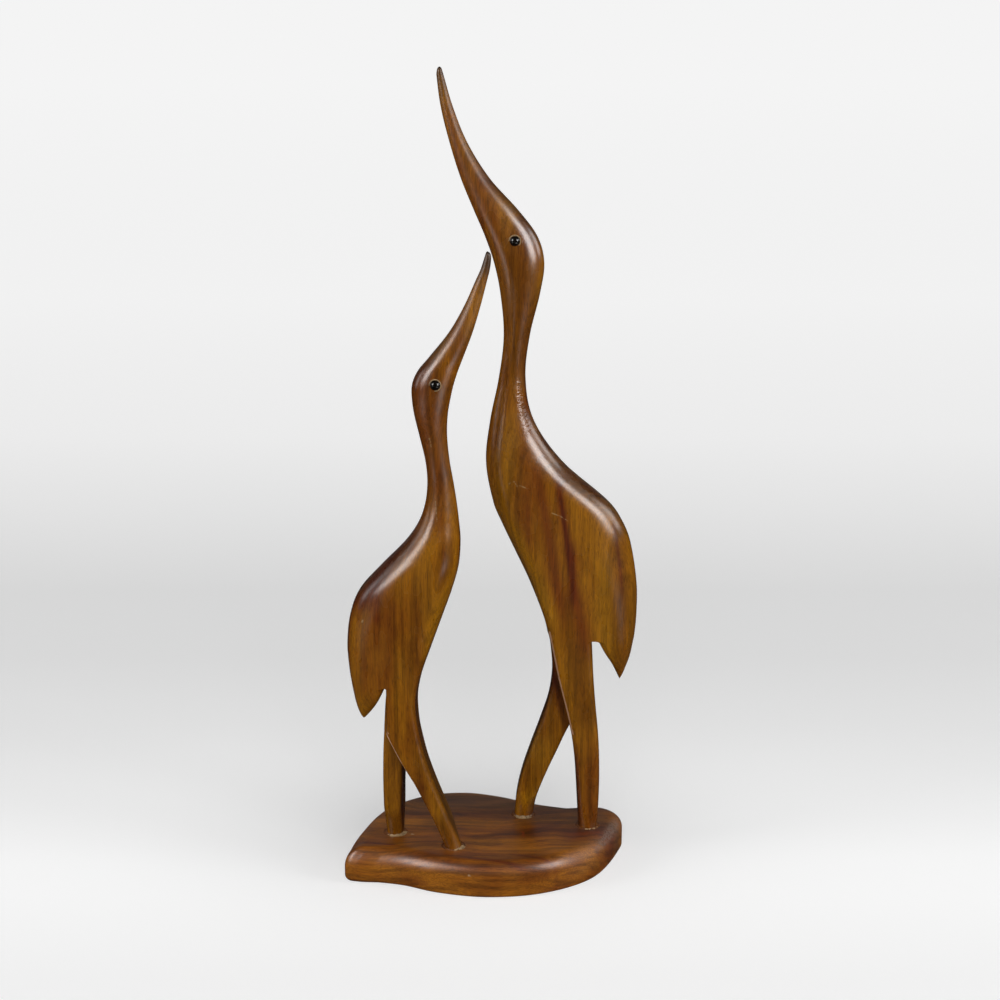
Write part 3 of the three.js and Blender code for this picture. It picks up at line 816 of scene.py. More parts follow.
@dataclass(frozen=True)
class Bird:
    """One bird, sawn from a plank and carved: its edges against height, seen from its right side."""

    name: str
    place: Triple
    turn: float
    back: Rows  # height, back edge, down the tail's outer edge
    breast: Rows  # height, breast edge, down the forward leg's front edge
    half_thickness: Rows
    tail_inner: Rows  # height, the tail's edge towards the legs
    rear_leg: Rows  # height, back edge, front edge
    forward_back: Rows  # height, back edge of the forward leg
    notch: float  # where the tail parts from the legs
    crotch: float  # where the legs part
    breast_split: float  # where the step between the layers starts in front
    back_split: float  # and where it starts behind
    eye: Pair
    leg_strips: int = 30
    tail_strips: int = 18
    wall_strips: int = 8
    step_strips: int = 8
    row_step: float = 0.9
    fine_rows: int = 8
    fine_reach: float = 4.0  # in row steps
    crease: float = 45.0
    back_reach: tuple[float, ...] = (12.0, 16.0, 9.0, 2.5)  # on head, body, at the notch and the tail's tip
    neck: Pair = (15.0, 65.0)  # how far below the eye the head's rounding turns to the body's
    body_from: float = 40.0  # how far above the notch the back's rounding starts to shrink
    leg_from: Pair = (-4.0, 34.0)  # heights over the notch between which the breast's edge becomes a leg's
    breast_reach: float = 9.0
    leg_round: float = 2.8
    leg_sharpness: float = 8.0
    step_round: float = 1.8
    body_sharpness: float = 1.75
    foot_taper: float = 34.0
    foot_depth: float = 10.4
    tail_tip_half: float = 4.0
    step_share: float = 0.45
    crotch_blend: float = 8.0
    column_blend: float = 60.0

    # Edges against height

    def rear_front(self, z: Floats) -> Floats:
        """Front edge of the rear layer: the breast's own edge until the layers part, then the rear leg's.

        Args:
            z: heights.

        Returns:
            The edge's x at each height; at the crotch it is the forward leg's back edge.
        """
        breast = size_at(self.breast, z)
        parted = np.minimum(size_at(self.rear_leg, z, 2), breast)
        joined = np.where(z < self.breast_split, parted, breast)
        return np.where(np.abs(z - self.crotch) < TINY, size_at(self.forward_back, z), joined)

    def layer_back(self, z: Floats) -> Floats:
        """Back edge of the forward layer: the rear leg's own edge until the layers part, then its own."""
        rear = size_at(self.rear_leg, z)
        return np.where(z < self.back_split, np.maximum(size_at(self.forward_back, z), rear), rear)

    def exposed(self, width: Floats) -> Floats:
        """Rounding of the edge that one layer shows past the other."""
        return np.minimum(self.step_round, self.step_share * np.maximum(width, 0.0))

    def back_edge(self, z: Floats) -> EdgeRound:
        """The back's rounding: wide on the body, less so on the head and towards the tail's tip.

        Args:
            z: heights.

        Returns:
            The rounding at each height.
        """
        tip = self.back[-1][0]
        head, body, notch, end = self.back_reach
        start, stop = (self.eye[1] - drop for drop in self.neck)
        reach = size_at(((self.notch + self.body_from, body), (self.notch, notch), (tip, end)), z)
        reach = reach + (head - body) * smoothstep(z, stop, start)
        return EdgeRound(reach, np.full_like(reach, self.body_sharpness))

    def breast_edge(self, z: Floats) -> EdgeRound:
        """The breast's rounding: wide above, turning to a leg's nearly square edge at the notch.

        Args:
            z: heights.

        Returns:
            The rounding at each height.
        """
        start, stop = (self.notch + above for above in self.leg_from)
        to_leg = 1.0 - smoothstep(z, start, stop)
        reach = self.breast_reach + (self.leg_round - self.breast_reach) * to_leg
        return EdgeRound(reach, self.body_sharpness + (self.leg_sharpness - self.body_sharpness) * to_leg)

    def leg_edge(self, z: Floats) -> EdgeRound:
        """A leg's nearly square edge."""
        return EdgeRound(np.full_like(z, self.leg_round), np.full_like(z, self.leg_sharpness))

    # Faces

    def face(
        self,
        x: Floats,
        low: Floats,
        high: Floats,
        outer: Floats,
        inner: tuple[Floats, Floats],
        edges: tuple[EdgeRound, EdgeRound],
    ) -> Floats:
        """Depth of a carved face over x.

        Depth is inner + (outer - inner) times the rounding of the low edge times that of the high edge, and
        inner is each edge's own in its half.

        Args:
            x: places across the section, rows by columns.
            low: the section's low edge for each row.
            high: its high edge.
            outer: greatest depth.
            inner: depth at the low and at the high edge.
            edges: rounding of the low and of the high edge.

        Returns:
            The depth at each x.
        """
        half = np.maximum((high - low) / 2, TINY)
        share = round_over(x - low, np.minimum(edges[0].reach, half), edges[0].sharpness)
        share = share * round_over(high - x, np.minimum(edges[1].reach, half), edges[1].sharpness)
        share = np.where(np.minimum(x - low, high - x) < TINY, 0.0, share)
        start = np.where(x < (low + high) / 2, inner[0], inner[1])
        return start + (outer - start) * share

    def ledge(
        self, z: Floats, ends: tuple[Floats, Floats], side: int, inset: Floats, rounds: tuple[Floats, Floats]
    ) -> Floats:
        """The strip that one layer shows past the other, its free edges falling away as quarter rounds.

        Args:
            z: heights, one a row.
            ends: x where the strip starts and ends.
            side: -1 or +1, the layer it belongs to.
            inset: depth of the strip.
            rounds: size of the rounding at its low and its high edge.

        Returns:
            Points of rows, columns and 3.
        """
        low, high = np.minimum(*ends), np.maximum(*ends)
        half = np.maximum((high - low) / 2, TINY)
        x = (ends[0] + ends[1]) / 2 - spread(self.step_strips) * (ends[1] - ends[0]) / 2
        depth = inset + np.zeros_like(x)
        for amount, distance in ((rounds[0], x - low), (rounds[1], high - x)):
            reach = np.minimum(np.maximum(amount, TINY), half)
            depth = depth + amount * (1.0 - round_over(distance, reach, self.body_sharpness))
        return points(x, side * depth, z)

    def across(self, low: Floats, high: Floats, strips: int) -> Floats:
        """Columns from high to low, packed towards both."""
        return (low + high) / 2 + spread(strips) * (high - low) / 2

    def heights(self, start: float, end: float, fine_start: bool = False, fine_end: bool = False) -> Floats:
        """Rows between two heights, packed as t^2 towards an end that is to be fine.

        Args:
            start: the upper height.
            end: the lower one.
            fine_start: packs the rows at the upper end.
            fine_end: packs them at the lower end.

        Returns:
            The heights from start down to end, as a column.
        """
        rows = np.linspace(start, end, max(2, round((start - end) / self.row_step) + 1))
        pack = np.linspace(0.0, 1.0, self.fine_rows + 1)[1:-1] ** 2 * self.row_step * self.fine_reach
        if fine_start:
            rows = np.concatenate([rows[:1], start - pack, rows[rows < start - pack[-1] - TINY]])
        if fine_end:
            rows = np.concatenate([rows[rows > end + pack[-1] + TINY], end + pack[::-1], rows[-1:]])
        return rows[:, None]

    # Parts of the carving

    def body_rows(self, z: Floats) -> tuple[Floats, Floats, Floats]:
        """The carving from the bill's tip to the notch, its columns turning to the notch's own near it.

        Args:
            z: heights, one a row.

        Returns:
            Points of the near face, the far face and the step between the layers.
        """
        at = np.array([[self.notch]])
        strips = self.leg_strips + self.wall_strips
        leg = self.across(size_at(self.rear_leg, at), size_at(self.breast, at), strips)[0]
        strips = self.tail_strips + self.wall_strips
        tail = self.across(size_at(self.back, at), size_at(self.tail_inner, at), strips)[0]
        inner = [size_at(self.rear_leg, at)[0, 0], size_at(self.tail_inner, at)[0, 0]]
        columns = np.concatenate([leg[: self.leg_strips], inner, tail[self.wall_strips + 1 :]])
        low, high = size_at(self.back, z), size_at(self.breast, z)
        notch_low, notch_high = size_at(self.back, at), size_at(self.breast, at)
        as_notch = low + (columns - notch_low) / (notch_high - notch_low) * (high - low)
        natural = self.across(low, high, len(columns) - 1)
        shift = 1.0 - smoothstep(z, self.notch, self.notch + self.column_blend)
        x = natural + (as_notch - natural) * shift
        x[:, :1], x[:, -1:] = high, low

        outer = size_at(self.half_thickness, z)
        rear_high = self.rear_front(z)
        rounding = self.exposed(high - rear_high)
        edges = (self.back_edge(z), self.breast_edge(z))
        none = np.zeros_like(z)
        near = points(x, -self.face(x, low, high, outer, (none, rounding), edges), z)
        rear_x = low + (x - low) / (high - low) * (rear_high - low)
        rear_x[:, :1] = rear_high
        far = points(rear_x, self.face(rear_x, low, rear_high, outer, (none, none), edges), z)[:, ::-1]
        return near, far, self.ledge(z, (rear_high, high), -1, none, (none, rounding))

    def fork_rows(self, z: Floats) -> tuple[Floats, Floats, Floats, Floats]:
        """The two layers between the notch and the crotch.

        Args:
            z: heights, one a row.

        Returns:
            Points of the near face, the back step, the far face and the front step.
        """
        outer = size_at(self.half_thickness, np.full_like(z, self.notch))
        near_low, near_high = self.layer_back(z), size_at(self.breast, z)
        far_low, far_high = size_at(self.rear_leg, z), self.rear_front(z)
        front, back = self.exposed(near_high - far_high), self.exposed(near_low - far_low)
        edges = (self.leg_edge(z), self.breast_edge(z))
        none = np.zeros_like(z)
        strips = self.leg_strips + self.wall_strips
        near_x, far_x = self.across(near_low, near_high, strips), self.across(far_low, far_high, strips)
        near = points(near_x, -self.face(near_x, near_low, near_high, outer, (none, front), edges), z)
        far = points(far_x, self.face(far_x, far_low, far_high, outer, (back, none), edges), z)[:, ::-1]
        back_step = self.ledge(z, (near_low, far_low), 1, none, (back, none))
        return near, back_step, far, self.ledge(z, (far_high, near_high), -1, none, (none, front))

    def leg_loops(self, z: Floats, low: Floats, high: Floats, side: int, free: Pair) -> Floats:
        """One free leg: a bar with rounded edges that turns into a round foot.

        Args:
            z: heights from the crotch to the foot's end.
            low: the leg's back edge.
            high: its front edge.
            side: -1 for the forward leg's layer, +1 for the rear one's.
            free: rounding of the inner edges at the crotch.

        Returns:
            Closed loops, one a row.
        """
        foot = 1.0 - smoothstep(z, BASE_THICKNESS, self.foot_taper)
        below = np.clip((self.crotch - z) / self.crotch_blend, 0.0, 1.0)
        inset = foot * (LAYER - self.foot_depth) / 2
        outer = LAYER - inset
        middle = (outer - inset) / 2
        grown = [edge + (self.step_round - edge) * below for edge in free]
        low_round, high_round = [g + (middle - g) * foot for g in grown]
        half = (high - low) / 2
        bar = EdgeRound(
            self.leg_round + (half - self.leg_round) * foot,
            self.leg_sharpness + (self.body_sharpness - self.leg_sharpness) * foot,
        )
        x = self.across(low, high, self.leg_strips + self.wall_strips)
        depth = self.face(x, low, high, outer, (inset + low_round, inset + high_round), (bar, bar))
        outside = points(x, side * depth, z)
        inside = self.ledge(z, (low, high), side, inset, (low_round, high_round))[:, 1:-1]
        return np.concatenate([outside, inside], axis=1)

    def carve(self, skin: Skin) -> None:
        """Sews bill, head, neck, body, tail and both legs into one closed skin.

        Args:
            skin: the skin that takes them.
        """
        body_z = self.heights(self.back[0][0], self.notch, fine_start=True)
        near, far, step = self.body_rows(body_z)
        for patch in (near, far, step):
            skin.grid(patch)
        skin.fan(np.concatenate([near[0, :-1], far[0, :-1]]))

        n, w, t = self.leg_strips, self.wall_strips, self.tail_strips
        fork = [part.copy() for part in self.fork_rows(self.heights(self.notch, self.crotch))]
        wall = fork[0][0, n + 1 :].copy()
        leg_x = size_at(self.rear_leg, np.array(self.notch))
        tail_x = size_at(self.tail_inner, np.array(self.notch))
        wall[:, 0], wall[:, 2] = leg_x, self.notch
        mirror = np.array([1.0, -1.0, 1.0])
        fork[0][0] = np.concatenate([near[-1, : n + 1], wall])
        fork[2][0] = np.concatenate([(wall * mirror)[::-1], far[-1, ::-1][: n + 1][::-1]])
        fork[1][0] = np.array([leg_x, 0.0, self.notch])
        fork[3][0] = step[-1]
        for patch in fork:
            skin.grid(patch)

        tail_wall = wall[::-1].copy()
        tail_wall[:, 0] = tail_x
        tip = self.back[-1][0]
        z = self.heights(self.notch, tip, fine_end=True)
        low, high = size_at(self.back, z), size_at(self.tail_inner, z)
        x = self.across(low, high, t + w)
        outer = LAYER + (self.tail_tip_half - LAYER) * ((self.notch - z) / (self.notch - tip)) ** 2
        none = np.zeros_like(z)
        depth = self.face(x, low, high, outer, (none, none), (self.back_edge(z), self.leg_edge(z)))
        tail_near, tail_far = points(x, -depth, z), points(x, depth, z)[:, ::-1]
        tail_near[0] = np.concatenate([tail_wall, near[-1, n + 1 :]])
        tail_far[0] = np.concatenate([far[-1, : t + 1], (tail_wall * mirror)[::-1]])
        skin.grid(tail_near)
        skin.grid(tail_far)
        skin.fan(np.concatenate([tail_near[-1, :-1], tail_far[-1, :-1]]))

        leg_edge = np.concatenate([fork[0][0, n:], fork[2][0, 1 : w + 1]])
        tail_edge = np.concatenate([tail_near[0, : w + 1][::-1], tail_far[0, -w - 1 : -1][::-1]])
        skin.grid(np.stack([tail_edge, leg_edge]))

        foot_end = BASE_THICKNESS - SOCKET_DEPTH + FIT_GAP
        z = self.heights(self.crotch, foot_end)[1:]
        at = np.array([[self.crotch]])
        free_front = float(self.exposed(size_at(self.breast, at) - self.rear_front(at))[0, 0])
        free_back = float(self.exposed(self.layer_back(at) - size_at(self.rear_leg, at))[0, 0])
        low, high = size_at(self.forward_back, z), size_at(self.breast, z)
        forward = self.leg_loops(z, low, high, -1, (0.0, free_front))
        low, high = size_at(self.rear_leg, z), size_at(self.rear_leg, z, 2)
        rear = self.leg_loops(z, low, high, 1, (free_back, 0.0))
        forward_top = np.concatenate([fork[0][-1], fork[3][-1][1:-1]])
        rear_top = np.concatenate([fork[2][-1][::-1], fork[1][-1][1:-1][::-1]])
        for top, loops in ((forward_top, forward), (rear_top, rear)):
            skin.grid(np.concatenate([top[None], loops]), closed=True)
            skin.fan(loops[-1])

    def set_in_place(self, own: Floats) -> Floats:
        """Turns and moves points from the bird's own frame to the object's.

        Args:
            own: the points.

        Returns:
            The moved points.
        """
        a = math.radians(self.turn)
        rows = [[math.cos(a), -math.sin(a), 0.0], [math.sin(a), math.cos(a), 0.0], [0.0, 0.0, 1.0]]
        return own @ np.array(rows).T + np.asarray(self.place)

    def build(self, finish: Wood) -> bpy.types.Object:
        """Makes the carving, puts it in place of its solid and dresses it.

        Args:
            finish: the bird's wood.

        Returns:
            The piece.
        """
        skin = Skin()
        self.carve(skin)
        skin.points = [self.set_in_place(patch) for patch in skin.points]
        piece = skin.mesh(self.name + "_carving", self.crease)
        dress(piece, finish.material())
        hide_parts(self.name)
        return piece

    def eye_depth(self) -> float:
        """Depth of the carved face under the eye.

        Returns:
            The depth, out from the plank's middle.
        """
        x, z = (np.array([[v]]) for v in self.eye)
        low, high = size_at(self.back, z), size_at(self.breast, z)
        none = np.zeros_like(z)
        edges = (self.back_edge(z), self.breast_edge(z))
        return float(self.face(x, low, high, size_at(self.half_thickness, z), (none, none), edges)[0, 0])


SMALL_BIRD = Bird(
    name="small_bird",
    place=(-29.5, -15.6, 0.0),
    turn=-5.5,
    back=(
        (302.6, 30.3), (302.1, 29.9), (301.2, 29.6), (299, 28.9), (294.4, 27.4), (290, 25.4), (278, 20),
        (266, 13.1), (254, 3.6), (248, -1.3), (242, -3.9), (236, -4.2), (228, -3.2), (218, -0.9),
        (206, 1.8), (196, 2.6), (186, 1.5), (177, -1.6), (168, -7.6), (156, -19), (144, -29.4),
        (132, -34.3), (117, -36.2), (104, -35.4), (97.3, -34.4), (92, -33.4), (88, -32.6), (84, -31.4),
        (81.6, -30.3), (80.5, -29.4), (80.1, -28.6),
    ),
    breast=(
        (302.6, 30.7), (302.1, 31.5), (301.2, 32.1), (299, 32.2), (294.4, 31.6), (290, 30.5),
        (278, 27.4), (266, 23.8), (254, 19.3), (248, 17), (242, 15.1), (236, 13.7), (228, 12.3),
        (218, 11.9), (206, 13), (196, 14.7), (186, 16.2), (177, 17.2), (168, 17.8), (156, 16.8),
        (144, 13.5), (132, 9.3), (117, 4), (104, -0.5), (97.3, -2.1), (92, -2.8), (86, -2.7),
        (79, -1.9), (70, -0.1), (61, 2.2), (50, 6), (40, 9.9), (28, 14.6), (17, 18.5),
    ),
    half_thickness=(
        (302.6, 0.4), (302.1, 1.0), (301.2, 1.4), (299, 1.7), (290, 2.3), (278, 3.2), (266, 4.8),
        (254, 6.6), (248, 7.2), (242, 7.6), (236, 7.6), (228, 7.2), (218, 6.4), (206, 6), (196, 6.5),
        (186, 7.8), (177, 9.6), (168, 11.3), (156, 12.5), (144, LAYER), (98.4, LAYER),
    ),
    tail_inner=(
        (98.4, -17.2), (97.3, -17.5), (96, -18), (90, -20.9), (85, -24.1), (82, -26.4), (80.6, -27.6),
        (80.1, -28.4),
    ),
    rear_leg=(
        (117, -16.9, 4), (110, -16.9, 1), (104, -16.9, -1.4), (98.4, -16.9, -2.8), (94, -17.8, -3.6),
        (88, -18.6, -4.4), (75, -19.5, -6.4), (61, -20.3, -9.4), (48, -20.6, -10.6), (30, -20.4, -11),
        (17, -19.8, -11.5),
    ),
    forward_back=(
        (98.4, -16.9), (92, -16.9), (86, -16.9), (79, -17), (74.8, -17.1), (74, -16.9), (70, -15),
        (61, -10.5), (50, -4), (40, 1), (28, 6.5), (17, 10.1),
    ),
    notch=98.4,
    crotch=59.6,
    breast_split=117.0,
    back_split=99.0,
    eye=(7.5, 242.9),
)

LARGE_BIRD = Bird(
    name="large_bird",
    place=(31.5, 6.5, 0.0),
    turn=180.0,
    back=(
        (381.6, 51.8), (381.1, 51.2), (380, 50.8), (378, 50.2), (364, 46.1), (348, 39.6), (332, 29.5),
        (318, 16.8), (306, 7.9), (294, 4.7), (280, 6.5), (260, 11.2), (240, 13.1), (220, 9.2),
        (200, -4.4), (180, -26.8), (170, -33.5), (160, -37.2), (140, -40.4), (125, -40.6),
        (114.5, -39.8), (110, -39), (104, -37.8), (98, -35.7), (95, -34.5), (93.2, -33.4),
        (92.6, -32.8),
    ),
    breast=(
        (381.6, 52.2), (381.1, 52.8), (380, 53.2), (378, 53.4), (364, 51.6), (348, 47.7), (332, 42.7),
        (318, 37), (306, 31.9), (294, 27.8), (280, 24.9), (260, 23.3), (240, 25.6), (220, 29.6),
        (200, 31.6), (180, 28.1), (170, 24), (160, 19.4), (140, 10.1), (125, 4.1), (114.5, 1.6),
        (109.5, 0.7), (97, -0.4), (90, -0.2), (80, 1.4), (67, 5.5), (55, 9.7), (42, 13.9), (30, 16.6),
        (17, 17.9),
    ),
    half_thickness=(
        (381.6, 0.4), (381.1, 0.9), (380, 1.3), (378, 1.6), (364, 2.7), (348, 3.9), (332, 5.2),
        (318, 6.8), (306, 8), (294, 8.6), (280, 8.3), (260, 7), (240, 6.6), (220, 8.7), (200, 11.4),
        (180, LAYER), (114.5, LAYER),
    ),
    tail_inner=(
        (114.5, -20.4), (113.4, -21.9), (111, -23.2), (107, -25.3), (101.5, -28.6), (96, -31.1),
        (93.4, -32.2), (92.6, -32.6),
    ),
    rear_leg=(
        (118, -18.6, 2.2), (114.5, -18.9, 1.3), (109.5, -19.2, 0.2), (95, -20, -2.7), (80, -21.2, -6.3),
        (67, -22.5, -9.3), (55, -23.2, -11), (40, -23.4, -12.2), (17, -22.8, -13.4),
    ),
    forward_back=(
        (118, -18.6), (114.5, -18.9), (109.5, -19.2), (97, -20), (90, -20.1), (80, -15), (67, -8.9),
        (55, -3.8), (42, 1.9), (30, 6.4), (17, 8.8),
    ),
    notch=114.5,
    crotch=67.6,
    breast_split=118.0,
    back_split=92.0,
    eye=(18.3, 304.8),
)


@dataclass(frozen=True)
class BeadEye:
    """A black bead let into a bird's head, with the pale rim of its drilled seat."""

    bird: Bird
    side: int  # -1 is the bird's right, +1 its left
    radius: float = 2.45
    sink: float = 0.5
    rim_width: float = 0.55
    rim_height: float = 0.16
    rim_overlap: float = 0.1
    rim_sink: float = 0.12
    rim_steps: int = 12
    steps: int = 48

    @property
    def name(self) -> str:
        """The name of the solid that the bead stands for."""
        return f"{self.bird.name}_{'right' if self.side < 0 else 'left'}_eye"

    def centre(self) -> Floats:
        """The bead's centre in the bird's own frame."""
        x, z = self.bird.eye
        return np.array([x, self.side * (self.bird.eye_depth() - self.sink), z])

    def revolve(self, radius: Floats, out: Floats) -> Floats:
        """A profile turned about the line through the bead's centre and out of the face.

        Each point lies at radius times (cos a, sin a) across the line, and out along it.

        Args:
            radius: the profile's distances from the line.
            out: its places along the line.

        Returns:
            Points of rows, columns and 3.
        """
        a = np.linspace(0.0, 2 * math.pi, self.steps, endpoint=False)
        x = radius[:, None] * np.cos(a)
        z = radius[:, None] * np.sin(a)
        y = self.side * out[:, None]
        return self.bird.set_in_place(points(x, y, z) + self.centre())

    def build(self, bead: bpy.types.Material, rim: bpy.types.Material) -> list[bpy.types.Object]:
        """Makes the bead in place of its solid, and its rim.

        Args:
            bead: material of the bead.
            rim: material of the rim.

        Returns:
            Both pieces.
        """
        angle = np.linspace(0.0, math.pi, self.steps // 2 + 1)
        ball = Skin()
        ball.grid(self.revolve(self.radius * np.sin(angle), self.radius * np.cos(angle)), closed=True)
        piece = ball.mesh(self.name + "_bead", ALWAYS_SMOOTH)
        dress(piece, bead)
        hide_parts(self.name)

        turn = np.linspace(0.0, 2 * math.pi, self.rim_steps + 1)
        middle = self.radius + self.rim_width / 2 - self.rim_overlap
        ring = Skin()
        out = self.sink + self.rim_height * np.sin(turn) - self.rim_sink
        ring.grid(self.revolve(middle + self.rim_width / 2 * np.cos(turn), out), closed=True)
        seat = ring.mesh(self.name + "_seat_rim", ALWAYS_SMOOTH)
        dress(seat, rim)
        return [piece, seat]


# Base


@dataclass(frozen=True)
class Base:
    """The leaf-shaped slab: its outline seen from above, rounded top edge and four foot holes."""

    name: str = "base"
    corners: tuple[Pair, ...] = (
        (-67.8, -27.2), (-63, -29.8), (-53, -30.8), (-40, -33.4), (-24, -40.2), (0, -45), (27, -41),
        (51, -25.4), (65, 3.5), (67.2, 15), (61, 23.4), (46, 23.8), (25, 29.8), (8, 38.6), (-11, 43.8),
        (-32, 40), (-51.5, 24), (-62.3, -1), (-66.6, -17),
    )
    thickness: float = BASE_THICKNESS
    edge_round: float = 7.0
    corner_round: float = 10.0  # of the top edge at the front left corner
    corner: Pair = (-62.0, -30.0)
    corner_reach: float = 26.0
    under_round: Pair = (1.6, 3.4)  # of the bottom edge, elsewhere and at that corner
    curve_steps: int = 60
    outline_steps: int = 420
    round_steps: int = 18
    under_steps: int = 6
    top_rings: int = 26
    drill_sides: int = 64
    drill_crease: float = 30.0
    crease: float = 38.0
    slant_limit: float = 0.6
    holes: tuple[Bird, ...] = (SMALL_BIRD, LARGE_BIRD)

    def outline(self) -> Floats:
        """Even points on a closed smooth curve through the corners.

        Between two corners the curve is the cubic whose end slopes weigh the neighbouring chords by the
        square roots of their lengths.

        Returns:
            Points of the outline, against the clock from above, as rows of 2.
        """
        p1 = np.asarray(self.corners, dtype=float)
        p0, p2, p3 = np.roll(p1, 1, axis=0), np.roll(p1, -1, axis=0), np.roll(p1, -2, axis=0)
        chords = (p1 - p0, p2 - p1, p3 - p2)
        d0, d1, d2 = (np.sqrt(np.linalg.norm(chord, axis=1))[:, None] for chord in chords)
        m1 = ((p1 - p0) / d0 - (p2 - p0) / (d0 + d1) + (p2 - p1) / d1) * d1
        m2 = ((p2 - p1) / d1 - (p3 - p1) / (d1 + d2) + (p3 - p2) / d2) * d1
        t = np.linspace(0.0, 1.0, self.curve_steps, endpoint=False)[:, None, None]
        curve = (
            (2 * t**3 - 3 * t**2 + 1) * p1
            + (t**3 - 2 * t**2 + t) * m1
            + (-2 * t**3 + 3 * t**2) * p2
            + (t**3 - t**2) * m2
        )
        line = curve.transpose(1, 0, 2).reshape(-1, 2)
        line = np.concatenate([line, line[:1]])
        run = np.concatenate([[0.0], np.cumsum(np.linalg.norm(np.diff(line, axis=0), axis=1))])
        at = np.linspace(0.0, run[-1], self.outline_steps, endpoint=False)
        return np.stack([np.interp(at, run, line[:, k]) for k in range(2)], axis=1)

    def ring(self, rim: Floats, inset: Floats, z: Floats) -> Floats:
        """Rims drawn in towards the middle.

        Args:
            rim: points of the outline.
            inset: how far in, square to the edge, as rows of rings by columns of rim points.
            z: height of each of them, alike.

        Returns:
            Points of rings, columns and 3.
        """
        along = np.roll(rim, -1, axis=0) - np.roll(rim, 1, axis=0)
        normal = np.stack([-along[:, 1], along[:, 0]], axis=1) / np.linalg.norm(along, axis=1)[:, None]
        inward = -rim / np.linalg.norm(rim, axis=1)[:, None]
        slant = np.maximum((normal * inward).sum(axis=1), self.slant_limit)
        xy = rim + inward * (inset / slant)[..., None]
        return points(xy[..., 0], xy[..., 1], z)

    def foot_centres(self) -> list[Floats]:
        """Where the middle of each foot meets the base.

        Returns:
            Forward and rear foot of each bird in turn, as points at height 0.
        """
        centres = []
        z = np.array(BASE_THICKNESS)
        for bird in self.holes:
            forward = (size_at(bird.forward_back, z) + size_at(bird.breast, z)) / 2
            rear = (size_at(bird.rear_leg, z) + size_at(bird.rear_leg, z, 2)) / 2
            for x, y in ((forward, -LAYER / 2), (rear, LAYER / 2)):
                centres.append(bird.set_in_place(np.array([float(x), y, 0.0])))
        return centres

    def drill(self, piece: bpy.types.Object) -> None:
        """Cuts the foot holes out of the slab and keeps the result as its mesh.

        Args:
            piece: the slab.
        """
        drills = Skin()
        a = np.linspace(0.0, 2 * math.pi, self.drill_sides, endpoint=False)
        low, high = BASE_THICKNESS - SOCKET_DEPTH, BASE_THICKNESS + SOCKET_DEPTH
        for centre in self.foot_centres():
            circle = centre + SOCKET_RADIUS * points(np.cos(a), np.sin(a), 0.0)
            rings = np.stack([circle + [0.0, 0.0, low], circle + [0.0, 0.0, high]])
            drills.grid(rings, closed=True)
            drills.fan(rings[0])
            drills.fan(rings[1])
        tool = drills.mesh("drills", self.drill_crease)
        cut = piece.modifiers.new("foot_holes", "BOOLEAN")
        cut.object, cut.operation, cut.solver = tool, "DIFFERENCE", "EXACT"
        shown = piece.evaluated_get(bpy.context.evaluated_depsgraph_get())
        made = bpy.data.meshes.new_from_object(shown)
        piece.modifiers.clear()
        piece.data = made
        bpy.data.objects.remove(tool)
        made.shade_smooth()
        made.set_sharp_from_angle(angle=math.radians(self.crease))

    def build(self, finish: Wood) -> bpy.types.Object:
        """Makes the slab in place of its solid: round under edge, wall, round top edge and top, rim inwards.

        A rounding's size near the corner is the greater one by a bell over the distance from it.

        Args:
            finish: the base's wood.

        Returns:
            The piece.
        """
        rim = self.outline()
        near = np.exp(-np.sum((rim - self.corner) ** 2, axis=1) / self.corner_reach**2)
        top_round = self.edge_round + (self.corner_round - self.edge_round) * near
        angle = np.linspace(0.0, math.pi / 2, self.round_steps + 1)[:, None]
        under_round = self.under_round[0] + (self.under_round[1] - self.under_round[0]) * near
        under = np.linspace(math.pi / 2, 0.0, self.under_steps + 1)[:, None]
        inset = np.concatenate([under_round * (1 - np.cos(under)), top_round * (1 - np.cos(angle))])
        wall = self.thickness - top_round * (1 - np.sin(angle))
        rings = self.ring(rim, inset, np.concatenate([under_round * (1 - np.sin(under)), wall]))
        skin = Skin()
        skin.grid(rings, closed=True)
        inner = rings[-1]
        share = np.linspace(1.0, 0.0, self.top_rings + 1)[:, None, None]
        skin.grid(inner * share * [1, 1, 0] + inner * [0, 0, 1], closed=True)
        skin.fan(rings[0])
        piece = skin.mesh("base_slab", self.crease)
        self.drill(piece)
        dress(piece, finish.material())
        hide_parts(self.name)
        return piece


